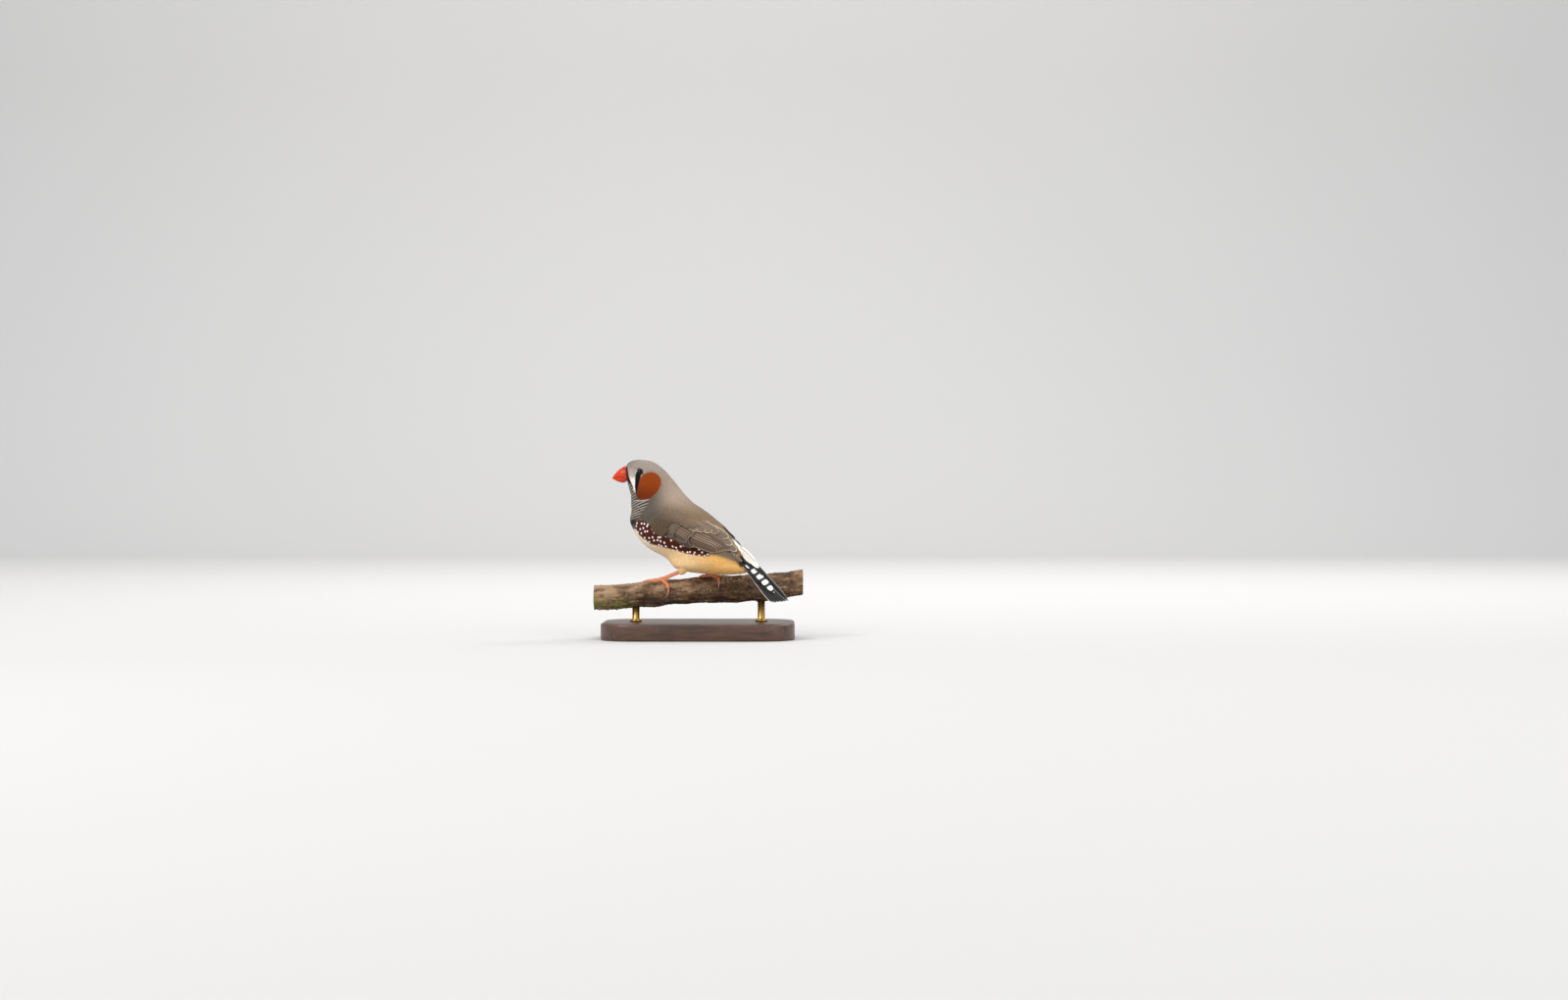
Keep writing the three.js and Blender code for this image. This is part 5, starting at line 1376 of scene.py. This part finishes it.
def spread(surface, s_range, angle_range, length_at, seed, rows=160, around=240):
    """Places spread evenly over a surface, closer together where the feathers are shorter.

    A two-way sequence of even spacing is carried through the running sums of area over feather area.
    """
    s = np.linspace(*s_range, rows)[:, None]
    angle = np.linspace(*angle_range, around)[None, :]
    s, angle = s + 0 * angle, angle + 0 * s
    along = surface(s + 0.01, angle) - surface(s - 0.01, angle)
    round_ = surface(s, angle + 0.01) - surface(s, angle - 0.01)
    area = np.linalg.norm(np.cross(along, round_), axis=-1) / 0.02**2
    weight = area / (TUFT_SHOWING * TUFT_RATIO * length_at(s, angle) ** 2)
    turn = angle_range[1] - angle_range[0]
    total = weight.sum() * (s_range[1] - s_range[0]) / rows * turn / around
    number = np.arange(int(total)) + seed * 0.37
    first, second = (0.5 + EVEN_STEPS[0] * number) % 1, (0.5 + EVEN_STEPS[1] * number) % 1
    by_row = np.concatenate([[0], np.cumsum(weight.sum(1))])
    place = np.interp(first * by_row[-1], by_row, np.arange(rows + 1))
    row = np.clip(place.astype(int), 0, rows - 1)
    by_angle = np.cumsum(weight, 1) / weight.sum(1, keepdims=True)
    column = np.minimum((by_angle[row] < second[:, None]).sum(1), around - 1)
    below = np.where(column > 0, by_angle[row, np.maximum(column - 1, 0)], 0)
    share = (second - below) / (by_angle[row, column] - below)
    picked_s = s_range[0] + (s_range[1] - s_range[0]) * place / rows
    return picked_s, angle_range[0] + turn * (column + share) / around


def tufts(surface, s, angle, length, depth, seed, rows=4, cols=9, room=FREE_ROOM):
    """Closed sheets of small feathers, their places in the surface's own two shares, and along and across.

    A point is the surface's at the root's place plus steps along and across the lie, worked out from the
    surface's slopes. It rises from a little under the coat's outline at the root to the outline at the tip.
    Every second column runs on past its neighbours, so that the tip ends in soft separate points.
    """
    draw = np.random.default_rng(seed)
    along = (surface(s + 0.01, angle) - surface(s - 0.01, angle)) / 0.02
    round_ = (surface(s, angle + 0.01) - surface(s, angle - 0.01)) / 0.02
    outward = unit(np.cross(along, round_))
    grown = surface(s, angle, 0.2 + 0 * s) - surface(s, angle, 0 * s)
    outward *= np.sign(np.einsum("ij,ij->i", outward, grown))[:, None]
    ahead = unit(along)
    yaw = draw.normal(0, 0.13, len(s))[:, None]
    ahead = np.cos(yaw) * ahead + np.sin(yaw) * np.cross(outward, ahead)
    aside = np.cross(outward, ahead)
    e, f, g = (np.einsum("ij,ij->i", a, b) for a, b in ((along, along), (along, round_), (round_, round_)))
    steps = []
    for way in (ahead, aside):
        p, q = np.einsum("ij,ij->i", way, along), np.einsum("ij,ij->i", way, round_)
        steps.append(((g * p - f * q) / (e * g - f * f), (e * q - f * p) / (e * g - f * f)))
    length = np.minimum(length * draw.uniform(0.85, 1.15, len(s)), room)
    start = 0.45 * length
    k = np.linspace(-1, 1, cols)[None, :]
    point = np.arange(cols) % 2 == 1
    reach = np.where(point, 1.0, 0.78) - 0.3 * k**2 + draw.normal(0, 0.05, (len(s), 1, cols))
    a = np.linspace(0, 1, rows)[:, None] ** 0.9 * reach
    width = np.interp(a, [0, 0.3, 0.65, 1], [0.35, 0.85, 1, 0.85])
    x = length[:, None, None] * a - start[:, None, None]
    y = 0.5 * TUFT_RATIO * 1.15 * length[:, None, None] * width * k
    (s_x, angle_x), (s_y, angle_y) = [[step[:, None, None] for step in pair] for pair in steps]
    s_all = s[:, None, None] + x * s_x + y * s_y
    angle_all = angle[:, None, None] + x * angle_x + y * angle_y
    sunk = np.minimum(depth, 0.04 * length + 0.03)[:, None, None]
    lift = draw.normal(0, 0.15, (len(s), 1, 1)) + draw.normal(0, 0.06, (len(s), 1, cols)) * a
    rise = sunk * (-1.05 * (1 - a**0.9) + lift - 0.3 * k**2 - 0.1)
    thick = 0.03 * (1 - k**2) * (1 - 0.5 * a)
    top, under = surface(s_all, angle_all, rise + thick / 2), surface(s_all, angle_all, rise - thick / 2)
    return top, under, s_all, angle_all, a + 0 * s_all, k + 0 * s_all


def coat_piece(name, slot, made, root_uv, colour, marks, lie, seed):
    """A piece of coat from its feathers, with each feather a small patch at its root's place on the map."""
    top, under, _, _, a, k = made
    draw = np.random.default_rng(seed + 50)
    colour = colour * (1 + draw.normal(0, 0.035, (len(top), 1, 1, 1)))
    # each feather is paler towards its tip, as real feathers are, and darker towards its root, as painted
    # shade where the feathers overlap
    colour = colour * (0.94 + 0.06 * smooth_step(a, 0.1, 0.8))[..., None]
    u, v = (root[:, None, None] for root in root_uv)
    uv = np.stack([0.003 + 0.994 * u + 0.0015 * k, 0.003 + 0.994 * v + 0.003 * (a - 0.5)], -1)
    piece(
        name, perched(both_faces(top, under)), [sheet_faces(*top.shape[:3])], [down], slot,
        uv=both_faces(uv), thin=True,
        plumage_colour=both_faces(np.clip(colour, 0, 1)), marks=both_faces(marks), lie=both_faces(lie),
        vane=both_faces(np.stack([k, a, 0 * a], -1)),
    )


def coat_length(s, angle):
    """Length of the body's small feathers, read by section."""
    return np.interp(s, *COAT_LENGTH) + 0 * angle


def round_the_eyes(s, angle):
    """Room for feathers at places round the eyes, and which places are clear of the bare lids.

    The room grows with the distance from the eye's middle, and root and tip both have to stay off the lid.
    """
    here = body_point(s, angle)
    room, clear = np.full(len(s), FREE_ROOM), np.ones(len(s), bool)
    for side in SIDES.values():
        middle, outward, level, above = eye_frame(side)
        offset = here - middle
        far = np.hypot(offset @ level, offset @ above)
        near = (offset @ outward > 0) & (far < 6)
        room = np.where(near, np.minimum(room, np.maximum(0.7, 0.25 + 0.6 * (far - 1.2))), room)
        step = body_point(s + 0.06, angle) - here
        reach = 0.55 * np.minimum(coat_length(s, angle), room) / np.linalg.norm(step, axis=-1)
        tip = here + step * reach[:, None] - middle
        clear &= ~(near & ((far < 2.2) | (np.hypot(tip @ level, tip @ above) < 2.1)))
    return room, clear


def off_the_wings(s, angle):
    """Which places lie further than 1.8 from the middle of each folded wing, which hides those under it."""
    here = body_point(s, angle)
    clear = np.ones(len(s), bool)
    grid_u, grid_v = np.meshgrid(np.linspace(0.16, 0.78, 60), np.linspace(0.3, 0.76, 24))
    for side in SIDES.values():
        cover = wing_point(side, grid_u, grid_v).reshape(-1, 3)
        for block in np.array_split(np.arange(len(s)), max(1, len(s) // 500)):
            clear[block] &= np.linalg.norm(here[block][:, None] - cover[None], axis=-1).min(1) > 1.8
    return clear


def settled(places):
    """Places drawn a quarter of the way to the middle of their feather."""
    return 0.75 * places + 0.25 * places.mean((1, 2), keepdims=True)


def body_coat(name, slot, s_range, seed):
    """One piece of the body's coat: places off lids, wings and the tail's coverts, then the feathers."""
    s, angle = spread(mantled, s_range, (-np.pi, np.pi), coat_length, seed)
    room, keep = round_the_eyes(s, angle)
    out = np.abs(body_straight(s, angle)[..., 1])
    keep &= (s < RUMP_END) | (np.sin(angle) < 0.15) | (out > 3.4)
    keep &= off_the_wings(s, angle)
    s, angle, room = s[keep], angle[keep], room[keep]
    made = tufts(mantled, s, angle, coat_length(s, angle), COAT_DEPTH(s)[..., 0], seed, room=room)
    s_all, angle_all = made[2:4]
    colour, *marks = plumage(settled(s_all), settled(angle_all))
    root_uv = ((angle + np.pi / 2) / (2 * np.pi) % 1, s / SECTIONS)
    coat_piece(name, slot, made, root_uv, colour, np.stack(marks, -1), lie_of(s_all, angle_all), seed)


for name, slot, s_range, seed in (
    ("coat_face", "grey_plumage", (0.02, 2.0), 1),
    ("coat_crown_and_cheeks", "grey_plumage", (2.0, 4.5), 2),
    ("coat_throat", "grey_plumage", (4.5, 5.6), 3),
    ("coat_neck", "grey_plumage", (5.6, 6.8), 4),
    ("coat_breast_and_mantle", "cream_plumage", (6.8, 8.7), 5),
    ("coat_flanks_and_back", "cream_plumage", (8.7, 10.9), 6),
    ("coat_belly_and_rump", "cream_plumage", (10.9, 14.7), 11),
):
    body_coat(name, slot, s_range, seed)


def wing_skin(side):
    """The wing's outer face as a surface: its length counted to 10, its depth to 6, and the coat's lift.

    The lift climbs from -0.8 before the bend to 1.7 behind it, and falls to a tenth at the upper edge.
    """
    def surface(s, t, grow=0.0):
        point, normal = wing_frame(side, np.asarray(s) / 10, np.asarray(t) / 6)
        lift = 2.5 * smooth_step(s, -1.3, 1.5) - 0.8
        lift = lift * (1 - 0.9 * smooth_step(t, 4.4, 6.2)) + grow
        return point + normal * np.asarray(lift)[..., None]
    return surface


def shoulder_length(s, t):
    """Length of the shoulder's feathers, which grows along the wing."""
    return 2.6 + 0.12 * s + 0 * t


def thigh_length(share, angle):
    """Length of the thigh's feathers, which shrinks towards the cuff."""
    return 2.9 - 1.8 * share + 0 * angle


# The shoulder's coat keeps to the front of the wing, runs further back along its upper edge, and ends where
# it would sink under the back's coat. Its front edge takes the colour of the body beside it.
for name, side in SIDES.items():
    shell = wing_skin(side)
    s, t = spread(shell, (-0.9, 5.0), (0.1, 6.15), shoulder_length, 8 + side)
    u, v = s / 10, t / 6
    stray = np.random.default_rng(60).normal(0, 0.012, len(u))
    keep = u + stray < 0.23 + 0.03 * np.sin(9 * v) + 0.07 * bell(v, 0.62, 0.1)
    keep |= (v > 0.61 - 0.1 * (u - 0.2) + stray) & (u + stray < 0.38 + 0.25 * (v - 0.6))
    keep &= t < np.interp(s, [-0.9, -0.1, 0.4], [4.6, 5.4, 6.2])
    s, t = s[keep], t[keep]
    back_s, back_angle = np.meshgrid(np.linspace(5.2, 10.5, 54), np.linspace(0.15 * np.pi, 1.25 * np.pi, 60))
    if side > 0:
        back_angle = np.pi - back_angle
    back = mantled(back_s, back_angle).reshape(-1, 3)
    back_way = back - mantled(back_s, back_angle, -1.0 + 0 * back_s).reshape(-1, 3)
    here = shell(s, t)
    nearest = np.linalg.norm(here[:, None] - back[None], axis=-1).argmin(1)
    keep = np.einsum("ij,ij->i", here - back[nearest], back_way[nearest]) > 0.0
    s, t, nearest = s[keep], t[keep], nearest[keep]
    made = tufts(shell, s, t, shoulder_length(s, t), np.full(len(s), 0.8), 20 + side)
    s_all, t_all = made[2:4]
    beside = plumage(back_s.ravel()[nearest], back_angle.ravel()[nearest])[0][:, None, None]
    colour = COVERT + (SCAPULAR - COVERT) * smooth_step(t_all, 2.6, 4.6)[..., None]
    colour = beside + (colour - beside) * smooth_step(s_all + 0.35 * (3 - t_all), -0.6, 2.4)[..., None]
    plain = np.zeros((*s_all.shape, 3))
    root_uv = ((s + 1) / 6.2, t / 6.8)
    marks = plain + (0, 0, 0.35)
    coat_piece("coat_shoulder_" + name, "wing_feather", made, root_uv, colour, marks, plain, 30 + side)

for name, leg in LEGS.items():
    cone = thigh_surface(leg)
    s, angle = spread(cone, (0.4, 0.89), (-np.pi, np.pi), thigh_length, 6)
    made = tufts(cone, s, angle, thigh_length(s, angle), np.full(len(s), THIGH_DEPTH), 6)
    plain = np.zeros((*made[2].shape, 3))
    root_uv = ((angle / (2 * np.pi)) % 1, s)
    coat_piece("coat_thigh_" + name, "cream_plumage", made, root_uv, plain + THIGH_BUFF, plain, plain, 40)
